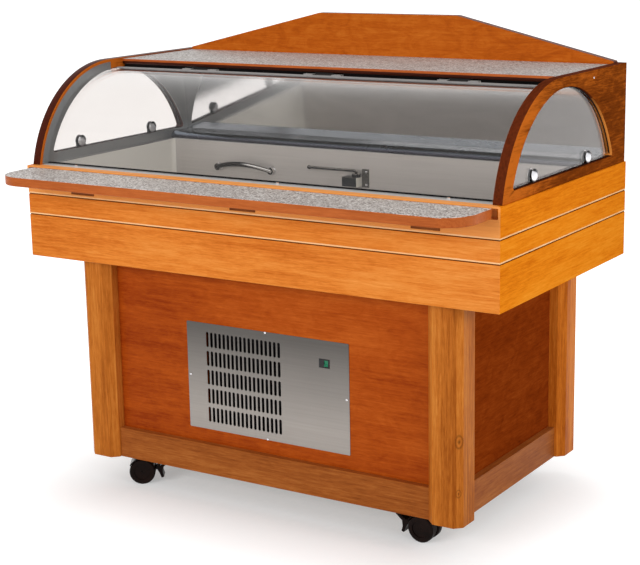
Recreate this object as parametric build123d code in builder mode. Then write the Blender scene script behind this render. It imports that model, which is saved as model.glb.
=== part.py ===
from build123d import *
import math
import os

os.makedirs("parts", exist_ok=True)

# Fish buffet counter on four castors, in millimetres, +Z up.
# The origin is the centre of the footprint on the floor, and the customer's side faces -Y.

# Fits shared by the moving parts
pivot_clearance = 0.06
moving_gap = 0.3
# Reach within which an edge or corner is picked by its place
pick = 0.1

# Apron: the deep wooden band round the cold well
apron_width = 1480.0
apron_depth = 780.0
apron_height = 260.0
apron_thickness = 26.0
groove_drops = (78.0, 137.0)
groove_height = 3.5
groove_depth = 5.0
apron_arris = 3.0

# Tray flap along the front, with its three butt hinges
tray_side_inset = 21.0
tray_depth = 159.0
tray_thickness = 25.0
tray_corner_radius = 80.0
tray_gap = 3.0
tray_drop = 4.0
tray_arris = 2.0
slot_end_wall = 6.0
slot_depth = 18.0
slot_clearance = 2.0
flap_hinge_spacing = 540.0
flap_hinge_length = 80.0
flap_knuckle_length = 28.0
flap_knuckle_radius = 3.5
flap_pin_radius = 1.5
flap_leaf_width = 38.0
flap_leaf_thickness = 2.0

# Stand: legs, rails, panels and boards
leg_size = 100.0
leg_height = 590.0
leg_chamfer = 20.0
leg_lift = 80.0
leg_side_inset = 131.0
leg_front_inset = 49.0
rail_height = 88.0
rail_thickness = 20.0
rail_setback = 25.0
panel_thickness = 12.0
base_board_thickness = 18.0
base_board_lift = 100.0
deck_thickness = 18.0

# Display hood: cheeks, windows, liners, shelf and back
cheek_thickness = 27.0
cheek_inset = 4.0
cheek_height = 270.0
cheek_radius = 335.0
cheek_foot_setback = 20.0
window_radius = 330.0
window_height = 216.0
window_sill = 27.0
window_rear_margin = 86.0
window_corner_radius = 8.0
pane_thickness = 6.0
pane_gap = 2.0
clamp_width = 40.0
clamp_height = 36.0
clamp_thickness = 22.0
clamp_arris = 2.0
clamp_offsets = (-171.0, 162.0)
liner_thickness = 1.5
liner_setback = 30.0
shelf_thickness = 16.0
shelf_drop = 4.0
shelf_setback = 56.4
shelf_arris = 5.0
crown_thickness = 28.0
crown_height = 388.0
crown_flat_half = 231.0
crown_slope = 0.238
back_panel_lean = 17.0
back_panel_thickness = 3.0
panel_seat_gap = 1.5
panel_seat_depth = 3.0

# Curved front glass on its top hinge
glass_thickness = 6.0
glass_setback = 28.0
glass_floor_gap = 4.0
glass_side_gap = 3.5
glass_flat = 36.0
hinge_drop = 9.0
hinge_reach = 4.5
knuckle_radius = 5.0
knuckle_length = 60.0
knuckle_spacing = 420.0
knuckle_gap = 0.5
hinge_pin_radius = 2.0
hinge_leaf_thickness = 2.5
hinge_leaf_depth = 36.0
glass_rail_bite = 15.0
glass_rail_wall = 2.5

# Lamp under the top shelf
lamp_end_gap = 47.5
lamp_width = 52.0
lamp_height = 18.0
lamp_setback = 48.0
lamp_wall = 2.0
tube_radius = 7.5

# Cold well
well_side_margin = 45.0
well_front_margin = 68.0
well_rear_margin = 153.0
well_depth = 196.0
well_corner_radius = 25.0
well_floor_radius = 20.0
steel = 1.5
foam_gap = 0.5
foam_joint = 0.3
drain_radius = 20.0
drain_length = 90.0
drain_neck_radius = 21.0
drain_tail_length = 25.0
drain_clearance = 2.0
ledge_rise = 22.0
ledge_depth = 86.0
ledge_nose_radius = 18.0

# Bow handle and turn latch on the rear wall of the well
handle_x = -427.0
handle_drop = 78.0
handle_length = 196.0
handle_reach = 30.0
handle_rise = 17.0
handle_foot_length = 12.0
handle_foot_radius = 9.0
handle_radius = 5.0
latch_x = -12.0
latch_drop = 87.0
latch_width = 50.0
latch_height = 28.0
latch_depth = 34.0
latch_plate_width = 25.0
latch_plate_height = 54.0
latch_plate_lift = 9.0
latch_plate_thickness = 2.0
latch_arris = 1.5
lever_length = 162.0
lever_radius = 3.0
lever_ball_radius = 5.5
lever_hub_radius = 12.0
lever_hub_height = 9.0
lever_rise = 9.0
lever_bend = 6.0
lever_stem_radius = 4.0
lever_stem_length = 12.0

# Slotted ventilation plate and mains switch in the front panel
grille_width = 527.0
grille_height = 306.0
grille_thickness = 1.5
grille_x = -3.5
grille_z = 360.0
grille_corner_radius = 3.0
slot_columns = 18
slot_rows = 5
slot_width = 8.5
slot_length = 43.0
slot_spacing_x = 13.94
slot_spacing_z = 54.0
slot_field_x = -79.0
slot_field_z = 359.0
opening_margin = 6.0
switch_width = 28.0
switch_height = 20.0
switch_x = 184.0
switch_z = 450.0
switch_flange = 2.0
switch_flange_thickness = 2.0
switch_depth = 20.0
switch_arris = 0.8
rocker_width = 12.0
rocker_height = 17.0
rocker_offset = 6.5
rocker_gap = 0.4
rocker_swing_gap = 1.0
rocker_tilt = 8.0
rocker_valley = 4.0
rocker_rise = 1.9
rocker_back = 4.0
rocker_well_depth = 12.0
rocker_pin_radius = 1.5
rocker_pin_inset = 6.0
rocker_pin_bite = 0.9

# Castors with twin wheels
castor_leg_gap = 71.0
castor_inset = 78.0
castor_trail = 28.0
castor_plate = 60.0
castor_plate_thickness = 3.0
castor_hole_spacing = 46.0
castor_hole_radius = 3.5
kingpin_radius = 6.0
kingpin_length = 25.0
neck_radius = 17.0
neck_gap = 0.5
neck_foot = 24.0
wheel_radius = 37.5
wheel_width = 20.0
wheel_shoulder = 3.5
dish_radius = 24.0
dish_depth = 2.5
axle_radius = 4.0
web_thickness = 14.0
web_radius = 33.0
web_gap = 1.0
guard_gap = 1.2
guard_thickness = 2.5
guard_half_angle = 62.0
pedal_pivot = (-46.0, 8.0)
pedal_hub_radius = 6.5
pedal_lug_radius = 5.5
pedal_pin_radius = 2.5
pedal_width = 34.0
pedal_gap = 0.4
pedal_fork_half = 9.0
pedal_arris = 1.5
# Brake rocker seen from the side, from its pivot: foot arm up and out, shoe arm down
pedal_outline = (
    (-4, 6), (-30, 24), (-33, 18), (-14, 2), (-12, -14), (-16, -28), (-8, -30), (-3, -16), (3, -6),
)

# Refrigeration unit on the base board
condenser_width = 250.0
condenser_height = 360.0
condenser_depth = 60.0
condenser_gap = 12.0
fin_count = 24
fin_spacing = 10.0
fin_gap_width = 6.0
fin_gap_depth = 8.0
fin_margin = 10.0
cowl_depth = 26.0
cowl_wall = 3.0
fan_radius = 94.0
fan_opening_radius = 100.0
fan_hub_radius = 26.0
fan_hub_length = 18.0
fan_blades = 5
blade_width = 34.0
blade_thickness = 2.5
blade_pitch = 60.0
fan_gap = 3.0
motor_radius = 32.0
motor_length = 50.0
shaft_radius = 4.0
spider_width = 14.0
spider_thickness = 4.0
compressor_x = 190.0
compressor_offset = 250.0
compressor_radius = 78.0
compressor_height = 170.0
compressor_dome = 40.0
compressor_skirt = 20.0
compressor_seam_radius = 81.0
compressor_seam_height = 5.0
compressor_base = 180.0
compressor_base_thickness = 4.0
compressor_foot_height = 14.0
compressor_foot_radius = 12.0
compressor_foot_spacing = 140.0
terminal_width = 56.0
terminal_height = 60.0
terminal_depth = 30.0
stub_radius = 7.0
stub_length = 12.0
line_radius = 5.0
line_bend = 20.0
line_clearance = 3.0
suction_x = 380.0
liquid_x = 330.0
liquid_offset = 90.0
discharge_drop = 45.0
liquid_lift = 42.0

# Levels and planes that the sizes give
tray_overhang = tray_gap + tray_depth
front_y = (tray_overhang - apron_depth) / 2
rear_y = front_y + apron_depth
side_x = apron_width / 2
apron_base_z = leg_lift + leg_height
apron_top_z = apron_base_z + apron_height
inner_x = side_x - apron_thickness
inner_front_y = front_y + apron_thickness
inner_rear_y = rear_y - apron_thickness
deck_top_z = apron_base_z + deck_thickness

leg_outer_x = side_x - leg_side_inset
leg_inner_x = leg_outer_x - leg_size
leg_front_y = front_y + leg_front_inset
leg_back_y = leg_front_y + leg_size
rear_leg_front_y = rear_y - leg_size
rail_front_y = leg_front_y + rail_setback
rail_rear_y = rear_y - rail_setback
rail_side_x = leg_outer_x - rail_setback
rail_top_z = leg_lift + rail_height
panel_front_y = rail_front_y + rail_thickness
panel_rear_y = rail_rear_y - rail_thickness
panel_side_x = rail_side_x - rail_thickness
board_front_y = panel_front_y + panel_thickness
board_rear_y = panel_rear_y - panel_thickness
board_side_x = panel_side_x - panel_thickness
board_top_z = base_board_lift + base_board_thickness

cheek_outer_x = side_x - cheek_inset
cheek_inner_x = cheek_outer_x - cheek_thickness
cheek_top_z = apron_top_z + cheek_height
arc_z = cheek_top_z - cheek_radius
arc_y = front_y + cheek_foot_setback + math.sqrt(cheek_radius**2 - (apron_top_z - arc_z) ** 2)
liner_x = cheek_inner_x - liner_thickness
lamp_length = 2 * (liner_x - lamp_end_gap)
sill_z = apron_top_z + window_sill
window_half = math.sqrt(window_radius**2 - (window_radius - window_height) ** 2)
window_y = rear_y - window_rear_margin - window_half
window_z = sill_z + window_height - window_radius
pane_x = cheek_inner_x + cheek_thickness / 2
shelf_top_z = cheek_top_z - shelf_drop
shelf_base_z = shelf_top_z - shelf_thickness
crown_front_y = rear_y - crown_thickness
shelf_front_y = arc_y + shelf_setback

glass_radius = cheek_radius - glass_setback
glass_top_z = arc_z + glass_radius
glass_foot_z = apron_top_z + glass_floor_gap
glass_end_y = arc_y + glass_flat
glass_half = liner_x - glass_side_gap
hinge_y = shelf_front_y - hinge_reach
hinge_z = shelf_base_z - hinge_drop

well_front_y = front_y + well_front_margin
well_rear_y = rear_y - well_rear_margin
well_width = well_rear_y - well_front_y
well_half_length = side_x - well_side_margin
well_floor_z = apron_top_z - well_depth
flange_z = apron_top_z - steel
well_mid_y = (well_front_y + well_rear_y) / 2
ledge_top_z = apron_top_z + ledge_rise
back_panel_y = well_rear_y + ledge_depth
panel_seat_y = back_panel_y - panel_seat_gap
panel_seat_z = ledge_top_z - panel_seat_depth

tray_width = apron_width - 2 * tray_side_inset
tray_rear_y = front_y - tray_gap
tray_front_y = tray_rear_y - tray_depth
tray_top_z = apron_top_z - tray_drop
tray_base_z = tray_top_z - tray_thickness
flap_axis_y = front_y - flap_knuckle_radius - moving_gap
flap_axis_z = tray_base_z - flap_knuckle_radius - moving_gap

grille_y = panel_front_y - grille_thickness
handle_z = apron_top_z - handle_drop
latch_base_z = apron_top_z - latch_drop - latch_height / 2
latch_top_z = latch_base_z + latch_height
lever_x = latch_x - lever_hub_radius + latch_arris
lever_y = well_rear_y - latch_depth / 2
switch_face_y = grille_y - switch_flange_thickness
rocker_x = switch_x + rocker_offset
rocker_pin_y = switch_face_y + rocker_pin_inset
castor_stem_x = leg_inner_x - castor_leg_gap
front_stem_y = leg_front_y + castor_inset
rear_stem_y = rear_y - castor_inset
castor_plate_z = base_board_lift - castor_plate_thickness
neck_top_z = castor_plate_z - neck_gap
wheel_track = web_thickness + 2 * web_gap + 2 * wheel_width
guard_inner = wheel_radius + guard_gap
guard_outer = guard_inner + guard_thickness

condenser_front_y = board_front_y + condenser_gap
condenser_rear_y = condenser_front_y + condenser_depth
cowl_rear_y = condenser_rear_y + cowl_depth
condenser_top_z = board_top_z + condenser_height
fan_y = condenser_rear_y + fan_gap
fan_axis = (slot_field_x, slot_field_z)
condenser_side_x = slot_field_x + condenser_width / 2
compressor_y = board_front_y + compressor_offset
can_z = board_top_z + compressor_foot_height + compressor_base_thickness
stub_z = can_z + compressor_height - discharge_drop
stub_reach = compressor_radius + stub_length
line_places = ((suction_x, compressor_y), (liquid_x, compressor_y - liquid_offset))

# Each castor: name, stem x, stem y, the way it trails in degrees, and whether it has a brake
castors = (
    ("front_left", -castor_stem_x, front_stem_y, 213.0, True),
    ("front_right", castor_stem_x, front_stem_y, 0.0, True),
    ("rear_left", -castor_stem_x, rear_stem_y, 180.0, False),
    ("rear_right", castor_stem_x, rear_stem_y, 0.0, False),
)


def save(builder, name):
    """Label a finished piece and write its file."""
    builder.part.label = name
    export_step(builder.part, f"parts/{name}.step")


def block(low, high, mode=Mode.ADD):
    """Box between two opposite corners, in the part in hand."""
    with Locations(low):
        Box(*[b - a for a, b in zip(low, high)], align=(Align.MIN, Align.MIN, Align.MIN), mode=mode)


def plain_board(name, low, high):
    with BuildPart() as board:
        block(low, high)
    save(board, name)


def bar(plane, centre, radius, length, mode=Mode.ADD):
    """Round bar that starts on the plane, in the part in hand."""
    with BuildSketch(plane) as disc:
        with Locations(centre):
            Circle(radius)
    extrude(disc.sketch, amount=length, mode=mode)


def apron_board(name, origin, outward, length):
    """Apron board with two shadow grooves, mitred at both ends. The origin is its outer top edge's middle."""
    along = Vector(0, 0, 1).cross(Vector(outward))
    start = Vector(origin) - along * (length / 2)
    with BuildPart() as board:
        with BuildSketch(Plane(origin=start, x_dir=-Vector(outward), z_dir=along)) as section:
            with Locations((0, -apron_height)):
                Rectangle(apron_thickness, apron_height, align=(Align.MIN, Align.MIN))
            for drop in groove_drops:
                with Locations((0, -drop)):
                    Rectangle(groove_depth, groove_height, align=(Align.MIN, Align.MAX), mode=Mode.SUBTRACT)
            drops = (*groove_drops, apron_height)
            outer = section.vertices().filter_by_position(Axis.X, -pick, pick)
            fillet([v for v in outer if any(abs(v.Y + drop) < pick for drop in drops)], apron_arris)
        extrude(amount=length)
        for end in (-1, 1):
            corner = Vector(origin) + along * (end * length / 2)
            split(bisect_by=Plane(origin=corner, z_dir=Vector(outward) - along * end), keep=Keep.TOP)
        # Slot along the front that the flap's rear edge looks into
        block(
            (slot_end_wall - side_x, front_y, tray_base_z - slot_clearance),
            (side_x - slot_end_wall, front_y + slot_depth, tray_top_z),
            mode=Mode.SUBTRACT,
        )
    save(board, name)


def aprons():
    mid_y = (front_y + rear_y) / 2
    apron_board("front_apron", (0, front_y, apron_top_z), (0, -1, 0), apron_width)
    apron_board("rear_apron", (0, rear_y, apron_top_z), (0, 1, 0), apron_width)
    apron_board("left_apron", (-side_x, mid_y, apron_top_z), (-1, 0, 0), apron_depth)
    apron_board("right_apron", (side_x, mid_y, apron_top_z), (1, 0, 0), apron_depth)


def leg(name, side, low_y):
    """Square leg with wide chamfers on its upright edges."""
    low_x = leg_inner_x if side > 0 else -leg_outer_x
    with BuildPart() as post:
        block((low_x, low_y, leg_lift), (low_x + leg_size, low_y + leg_size, apron_base_z))
        chamfer(post.edges().filter_by(Axis.Z), leg_chamfer)
    save(post, name)


def stand():
    leg("leg_front_left", -1, leg_front_y)
    leg("leg_front_right", 1, leg_front_y)
    leg("leg_rear_left", -1, rear_leg_front_y)
    leg("leg_rear_right", 1, rear_leg_front_y)
    plain_board("front_rail", (-leg_inner_x, rail_front_y, leg_lift),
                (leg_inner_x, panel_front_y, rail_top_z))
    plain_board("rear_rail", (-leg_inner_x, panel_rear_y, leg_lift), (leg_inner_x, rail_rear_y, rail_top_z))
    plain_board("left_rail", (-rail_side_x, leg_back_y, leg_lift),
                (-panel_side_x, rear_leg_front_y, rail_top_z))
    plain_board("right_rail", (panel_side_x, leg_back_y, leg_lift),
                (rail_side_x, rear_leg_front_y, rail_top_z))
    low, high = base_board_lift, apron_base_z
    plain_board("rear_panel", (-leg_inner_x, board_rear_y, low), (leg_inner_x, panel_rear_y, high))
    plain_board("left_panel", (-panel_side_x, leg_back_y, low), (-board_side_x, rear_leg_front_y, high))
    plain_board("right_panel", (board_side_x, leg_back_y, low), (panel_side_x, rear_leg_front_y, high))


def front_panel():
    """Front panel, cut out behind the ventilation slots and the switch."""
    half_x = ((slot_columns - 1) * slot_spacing_x + slot_width) / 2 + opening_margin
    half_z = ((slot_rows - 1) * slot_spacing_z + slot_length) / 2 + opening_margin
    half_switch = switch_width / 2 + slot_clearance
    half_switch_z = switch_height / 2 + slot_clearance
    with BuildPart() as panel:
        block((-leg_inner_x, panel_front_y, base_board_lift), (leg_inner_x, board_front_y, apron_base_z))
        block(
            (slot_field_x - half_x, panel_front_y, slot_field_z - half_z),
            (slot_field_x + half_x, board_front_y, slot_field_z + half_z),
            mode=Mode.SUBTRACT,
        )
        block(
            (switch_x - half_switch, panel_front_y, switch_z - half_switch_z),
            (switch_x + half_switch, board_front_y, switch_z + half_switch_z),
            mode=Mode.SUBTRACT,
        )
    save(panel, "front_panel")


def base_board():
    """Bottom board between the panels, notched round the legs and drilled for the castor plates."""
    notch_x = board_side_x - leg_inner_x
    with BuildPart() as board:
        with BuildSketch(Plane.XY.offset(base_board_lift)):
            with Locations((0, (board_front_y + board_rear_y) / 2)):
                Rectangle(2 * board_side_x, board_rear_y - board_front_y)
            for edge_y, leg_y in ((board_front_y, leg_back_y), (board_rear_y, rear_leg_front_y)):
                with Locations((-board_side_x, edge_y), (board_side_x, edge_y)):
                    Rectangle(2 * notch_x, 2 * abs(leg_y - edge_y), mode=Mode.SUBTRACT)
            with Locations([(x, y) for _, x, y, _, _ in castors]):
                with GridLocations(castor_hole_spacing, castor_hole_spacing, 2, 2):
                    Circle(castor_hole_radius, mode=Mode.SUBTRACT)
        extrude(amount=base_board_thickness)
    save(board, "base_board")


def deck_board():
    """Board on the legs that carries the cold well, drilled for the drain and the refrigerant lines."""
    with BuildPart() as board:
        block((-inner_x, inner_front_y, apron_base_z), (inner_x, inner_rear_y, deck_top_z))
        with Locations((0, well_mid_y, apron_base_z)):
            Cylinder(drain_neck_radius + drain_clearance, 3 * deck_thickness, mode=Mode.SUBTRACT)
        with Locations([(x, y, apron_base_z) for x, y in line_places]):
            Cylinder(line_radius + line_clearance, 3 * deck_thickness, mode=Mode.SUBTRACT)
    save(board, "deck_board")


def tub(grow, top_z):
    """Solid form of the well's inside, grown all round, from below its floor up to a level."""
    base_z = well_floor_z - grow
    with BuildPart() as form:
        with BuildSketch(Plane.XY.offset(base_z)):
            with Locations((0, well_mid_y)):
                RectangleRounded(2 * (well_half_length + grow), well_width + 2 * grow,
                                 well_corner_radius + grow)
        extrude(amount=top_z - base_z)
        fillet(form.edges().group_by(Axis.Z)[0], well_floor_radius + grow)
    return form.part


def well_tank():
    """Deep-drawn steel tank with a flange over the foam and a drain spigot."""
    shell_z = well_floor_z - steel
    outside = tub(steel, flange_z)
    inside = tub(0, apron_top_z)
    with BuildPart() as tank:
        block((-inner_x, inner_front_y, flange_z), (inner_x, inner_rear_y, apron_top_z))
        add(outside)
        add(inside, mode=Mode.SUBTRACT)
        bar(Plane.XY.offset(shell_z), (0, well_mid_y), drain_neck_radius, drain_tail_length - drain_length)
        bar(Plane.XY.offset(shell_z), (0, well_mid_y), drain_radius, -drain_length)
        bar(Plane.XY.offset(well_floor_z), (0, well_mid_y), drain_radius - steel, -drain_length - steel,
            mode=Mode.SUBTRACT)
    save(tank, "well_tank")


def well_insulation():
    """Foam boards round the tank: a floor drilled for the drain, two long walls and two end walls."""
    reach = steel + foam_gap
    pocket_x = well_half_length + reach
    pocket_front_y = well_front_y - reach
    pocket_rear_y = well_rear_y + reach
    floor_z = well_floor_z - reach
    wall_z = floor_z + foam_joint
    with BuildPart() as foam:
        block((-inner_x, inner_front_y, deck_top_z), (inner_x, inner_rear_y, floor_z))
        bar(Plane.XY.offset(deck_top_z), (0, well_mid_y), drain_neck_radius + drain_clearance,
            floor_z - deck_top_z, mode=Mode.SUBTRACT)
        block((-inner_x, inner_front_y, wall_z), (inner_x, pocket_front_y, flange_z))
        block((-inner_x, pocket_rear_y, wall_z), (inner_x, inner_rear_y, flange_z))
        for low_x, high_x in ((-inner_x, -pocket_x), (pocket_x, inner_x)):
            block((low_x, pocket_front_y + foam_joint, wall_z),
                  (high_x, pocket_rear_y - foam_joint, flange_z))
    save(foam, "well_insulation")


def rear_ledge():
    """Raised steel ledge behind the well, with a rounded nose and a low seat for the back panel."""
    back_y = back_panel_y + back_panel_thickness
    nose = (well_rear_y + ledge_nose_radius, ledge_top_z)
    with BuildPart() as ledge:
        with BuildSketch(Plane.YZ.offset(-liner_x)):
            with BuildLine():
                Line((well_rear_y, apron_top_z), (well_rear_y, ledge_top_z - ledge_nose_radius))
                RadiusArc((well_rear_y, ledge_top_z - ledge_nose_radius), nose, ledge_nose_radius)
                Polyline(nose, (panel_seat_y, ledge_top_z), (panel_seat_y, panel_seat_z))
                Polyline((panel_seat_y, panel_seat_z), (back_y, panel_seat_z), (back_y, apron_top_z),
                         (well_rear_y, apron_top_z))
            make_face()
        extrude(amount=2 * liner_x)
    save(ledge, "rear_ledge")


def back_panel():
    """Polished panel behind the display, leaning forward at the top."""
    top_y = back_panel_y - back_panel_lean
    with BuildPart() as panel:
        with BuildSketch(Plane.YZ.offset(-liner_x)):
            with BuildLine():
                Polyline(
                    (back_panel_y, panel_seat_z),
                    (back_panel_y + back_panel_thickness, panel_seat_z),
                    (top_y + back_panel_thickness, shelf_base_z),
                    (top_y, shelf_base_z),
                    close=True,
                )
            make_face()
        extrude(amount=2 * liner_x)
    save(panel, "back_panel")


def hood_outline(setback, back_y):
    """Side view of the hood: round front, flat top and straight back, in the sketch in hand."""
    radius = cheek_radius - setback
    foot = (arc_y - math.sqrt(radius**2 - (apron_top_z - arc_z) ** 2), apron_top_z)
    crest = (arc_y, arc_z + radius)
    with BuildLine() as outline:
        RadiusArc(foot, crest, radius)
        Polyline(crest, (back_y, crest[1]), (back_y, apron_top_z), foot)
    make_face(outline.edges())


def window_shape(inset):
    """Segment of a circle on a level sill, with rounded corners."""
    radius = window_radius - inset
    base = sill_z + inset
    half = math.sqrt(radius**2 - (base - window_z) ** 2)
    with BuildSketch() as segment:
        with BuildLine():
            ThreePointArc((window_y - half, base), (window_y, window_z + radius), (window_y + half, base))
            Line((window_y + half, base), (window_y - half, base))
        make_face()
        fillet(segment.vertices(), window_corner_radius)
    return segment.sketch


def cheek(side, name):
    """Wooden end of the hood with its window opening."""
    start = cheek_inner_x if side > 0 else -cheek_outer_x
    window = window_shape(0)
    with BuildPart() as board:
        with BuildSketch(Plane.YZ.offset(start)):
            hood_outline(0, rear_y)
            add(window, mode=Mode.SUBTRACT)
        extrude(amount=cheek_thickness)
    save(board, name)


def liner(side, name):
    """Steel sheet on the inside of a cheek, with the same window."""
    start = liner_x if side > 0 else -cheek_inner_x
    window = window_shape(0)
    with BuildPart() as sheet:
        with BuildSketch(Plane.YZ.offset(start)):
            hood_outline(liner_setback, crown_front_y)
            add(window, mode=Mode.SUBTRACT)
        extrude(amount=liner_thickness)
    save(sheet, name)


def window_pane(side, name):
    window = window_shape(pane_gap)
    with BuildPart() as pane:
        with BuildSketch(Plane.YZ.offset(side * pane_x - pane_thickness / 2)):
            add(window)
        extrude(amount=pane_thickness)
    save(pane, name)


def window_clamps():
    """Four D-shaped clamps on the window sills, each gripping the lower edge of a pane."""
    shoulder = clamp_height - clamp_width / 2
    with BuildPart() as clamps:
        for side in (-1, 1):
            with BuildSketch(Plane.YZ.offset(side * pane_x - clamp_thickness / 2)):
                for offset_y in clamp_offsets:
                    with Locations((window_y + offset_y, sill_z)):
                        Rectangle(clamp_width, shoulder, align=(Align.CENTER, Align.MIN))
                    with Locations((window_y + offset_y, sill_z + shoulder)):
                        Circle(clamp_width / 2)
                    with Locations((window_y + offset_y, sill_z)):
                        Rectangle(clamp_width, clamp_width, align=(Align.CENTER, Align.MAX),
                                  mode=Mode.SUBTRACT)
            extrude(amount=clamp_thickness)
        rims = clamps.faces().filter_by(Axis.X).edges()
        fillet(rims.filter_by_position(Axis.Z, sill_z + pick, cheek_top_z), clamp_arris)
        for side in (-1, 1):
            block(
                (side * pane_x - pane_thickness / 2, window_y - window_half, sill_z + pane_gap),
                (side * pane_x + pane_thickness / 2, window_y + window_half, cheek_top_z),
                mode=Mode.SUBTRACT,
            )
    save(clamps, "window_clamps")


def top_shelf():
    with BuildPart() as shelf:
        block((-cheek_inner_x, shelf_front_y, shelf_base_z), (cheek_inner_x, crown_front_y, shelf_top_z))
        front = shelf.edges().filter_by(Axis.X).group_by(Axis.Y)[0]
        fillet(front.sort_by(Axis.Z)[0], shelf_arris)
    save(shelf, "top_shelf")


def crown_board():
    """Back board between the cheeks, rising to a low gable with a flat top."""
    crown_z = apron_top_z + crown_height
    end_z = crown_z - crown_slope * (cheek_inner_x - crown_flat_half)
    with BuildPart() as board:
        with BuildSketch(Plane.XZ.offset(-rear_y)):
            with BuildLine():
                Polyline(
                    (-cheek_inner_x, apron_top_z),
                    (cheek_inner_x, apron_top_z),
                    (cheek_inner_x, end_z),
                    (crown_flat_half, crown_z),
                    (-crown_flat_half, crown_z),
                    (-cheek_inner_x, end_z),
                    close=True,
                )
            make_face()
        extrude(amount=crown_thickness)
    save(board, "crown_board")


def front_glass():
    """Curved pane that follows the cheeks and ends in a short level strip under the shelf."""
    inner = glass_radius - glass_thickness
    rise = glass_foot_z - arc_z
    foot = (arc_y - math.sqrt(glass_radius**2 - rise**2), glass_foot_z)
    inner_foot = (arc_y - math.sqrt(inner**2 - rise**2), glass_foot_z)
    crest = (arc_y, glass_top_z)
    inner_crest = (arc_y, glass_top_z - glass_thickness)
    with BuildPart() as glass:
        with BuildSketch(Plane.YZ.offset(-glass_half)):
            with BuildLine():
                RadiusArc(foot, crest, glass_radius)
                Polyline(crest, (glass_end_y, crest[1]), (glass_end_y, inner_crest[1]), inner_crest)
                RadiusArc(inner_crest, inner_foot, -inner)
                Line(inner_foot, foot)
            make_face()
        extrude(amount=2 * glass_half)
    save(glass, "front_glass")


def knuckle_starts():
    """Middles of the three hinge knuckles along X."""
    return [knuckle_spacing * step for step in (-1, 0, 1)]


def glass_rail():
    """Channel on the glass's top edge with a pair of knuckles beside each fixed one."""
    low_z = glass_top_z - glass_thickness - glass_rail_wall
    high_z = glass_top_z + glass_rail_wall
    end_y = glass_end_y + glass_rail_wall
    with BuildPart() as rail:
        block((-glass_half, glass_end_y - glass_rail_bite, low_z), (glass_half, end_y, high_z))
        for middle in knuckle_starts():
            for side in (-1, 1):
                near = side * (knuckle_length / 2 + knuckle_gap)
                far = near + side * knuckle_length / 2
                start, stop = sorted((middle + near, middle + far))
                block((start, end_y, hinge_z - knuckle_radius / 2),
                      (stop, hinge_y, hinge_z + knuckle_radius / 2))
                bar(Plane.YZ.offset(start), (hinge_y, hinge_z), knuckle_radius, stop - start)
                bar(Plane.YZ.offset(start), (hinge_y, hinge_z), hinge_pin_radius + pivot_clearance,
                    stop - start, mode=Mode.SUBTRACT)
        block(
            (-glass_half, glass_end_y - glass_rail_bite, glass_top_z - glass_thickness),
            (glass_half, glass_end_y, glass_top_z),
            mode=Mode.SUBTRACT,
        )
    save(rail, "glass_rail")


def glass_hinges():
    """Three leaves under the shelf, each with its knuckle and a pin that runs out on both sides."""
    with BuildPart() as hinges:
        for middle in knuckle_starts():
            start = middle - knuckle_length / 2
            leaf_z = shelf_base_z - hinge_leaf_thickness
            block((start, shelf_front_y + shelf_arris, leaf_z),
                  (start + knuckle_length, shelf_front_y + shelf_arris + hinge_leaf_depth, shelf_base_z))
            web_y = shelf_front_y + shelf_arris + hinge_leaf_thickness
            block((start, hinge_y, hinge_z - hinge_pin_radius),
                  (start + knuckle_length, web_y, hinge_z + hinge_pin_radius))
            block((start, shelf_front_y + shelf_arris, hinge_z),
                  (start + knuckle_length, web_y, shelf_base_z))
            bar(Plane.YZ.offset(start), (hinge_y, hinge_z), knuckle_radius, knuckle_length)
            pin_start = middle - knuckle_length - knuckle_gap
            bar(Plane.YZ.offset(pin_start), (hinge_y, hinge_z), hinge_pin_radius,
                2 * (knuckle_length + knuckle_gap))
    save(hinges, "glass_hinges")


def lamp():
    """Lamp channel under the shelf, open below, with its tube between the end walls."""
    low_y = shelf_front_y + lamp_setback
    low_z = shelf_base_z - lamp_height
    with BuildPart() as housing:
        block((-lamp_length / 2, low_y, low_z), (lamp_length / 2, low_y + lamp_width, shelf_base_z))
        block(
            (lamp_wall - lamp_length / 2, low_y + lamp_wall, low_z),
            (lamp_length / 2 - lamp_wall, low_y + lamp_width - lamp_wall, shelf_base_z - lamp_wall),
            mode=Mode.SUBTRACT,
        )
    save(housing, "lamp_housing")
    with BuildPart() as tube:
        centre = (low_y + lamp_width / 2, (low_z + shelf_base_z - lamp_wall) / 2)
        bar(Plane.YZ.offset(lamp_wall - lamp_length / 2), centre, tube_radius, lamp_length - 2 * lamp_wall)
    save(tube, "lamp_tube")


def tray_flap():
    """Shelf board with two large front corners."""
    with BuildPart() as flap:
        block((-tray_width / 2, tray_front_y, tray_base_z), (tray_width / 2, tray_rear_y, tray_top_z))
        fillet(flap.edges().filter_by(Axis.Z).group_by(Axis.Y)[0], tray_corner_radius)
        rims = flap.faces().filter_by(Axis.Z).edges()
        fillet(rims.filter_by_position(Axis.Y, tray_front_y - pick, tray_rear_y - pick), tray_arris)
    save(flap, "tray_flap")


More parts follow.
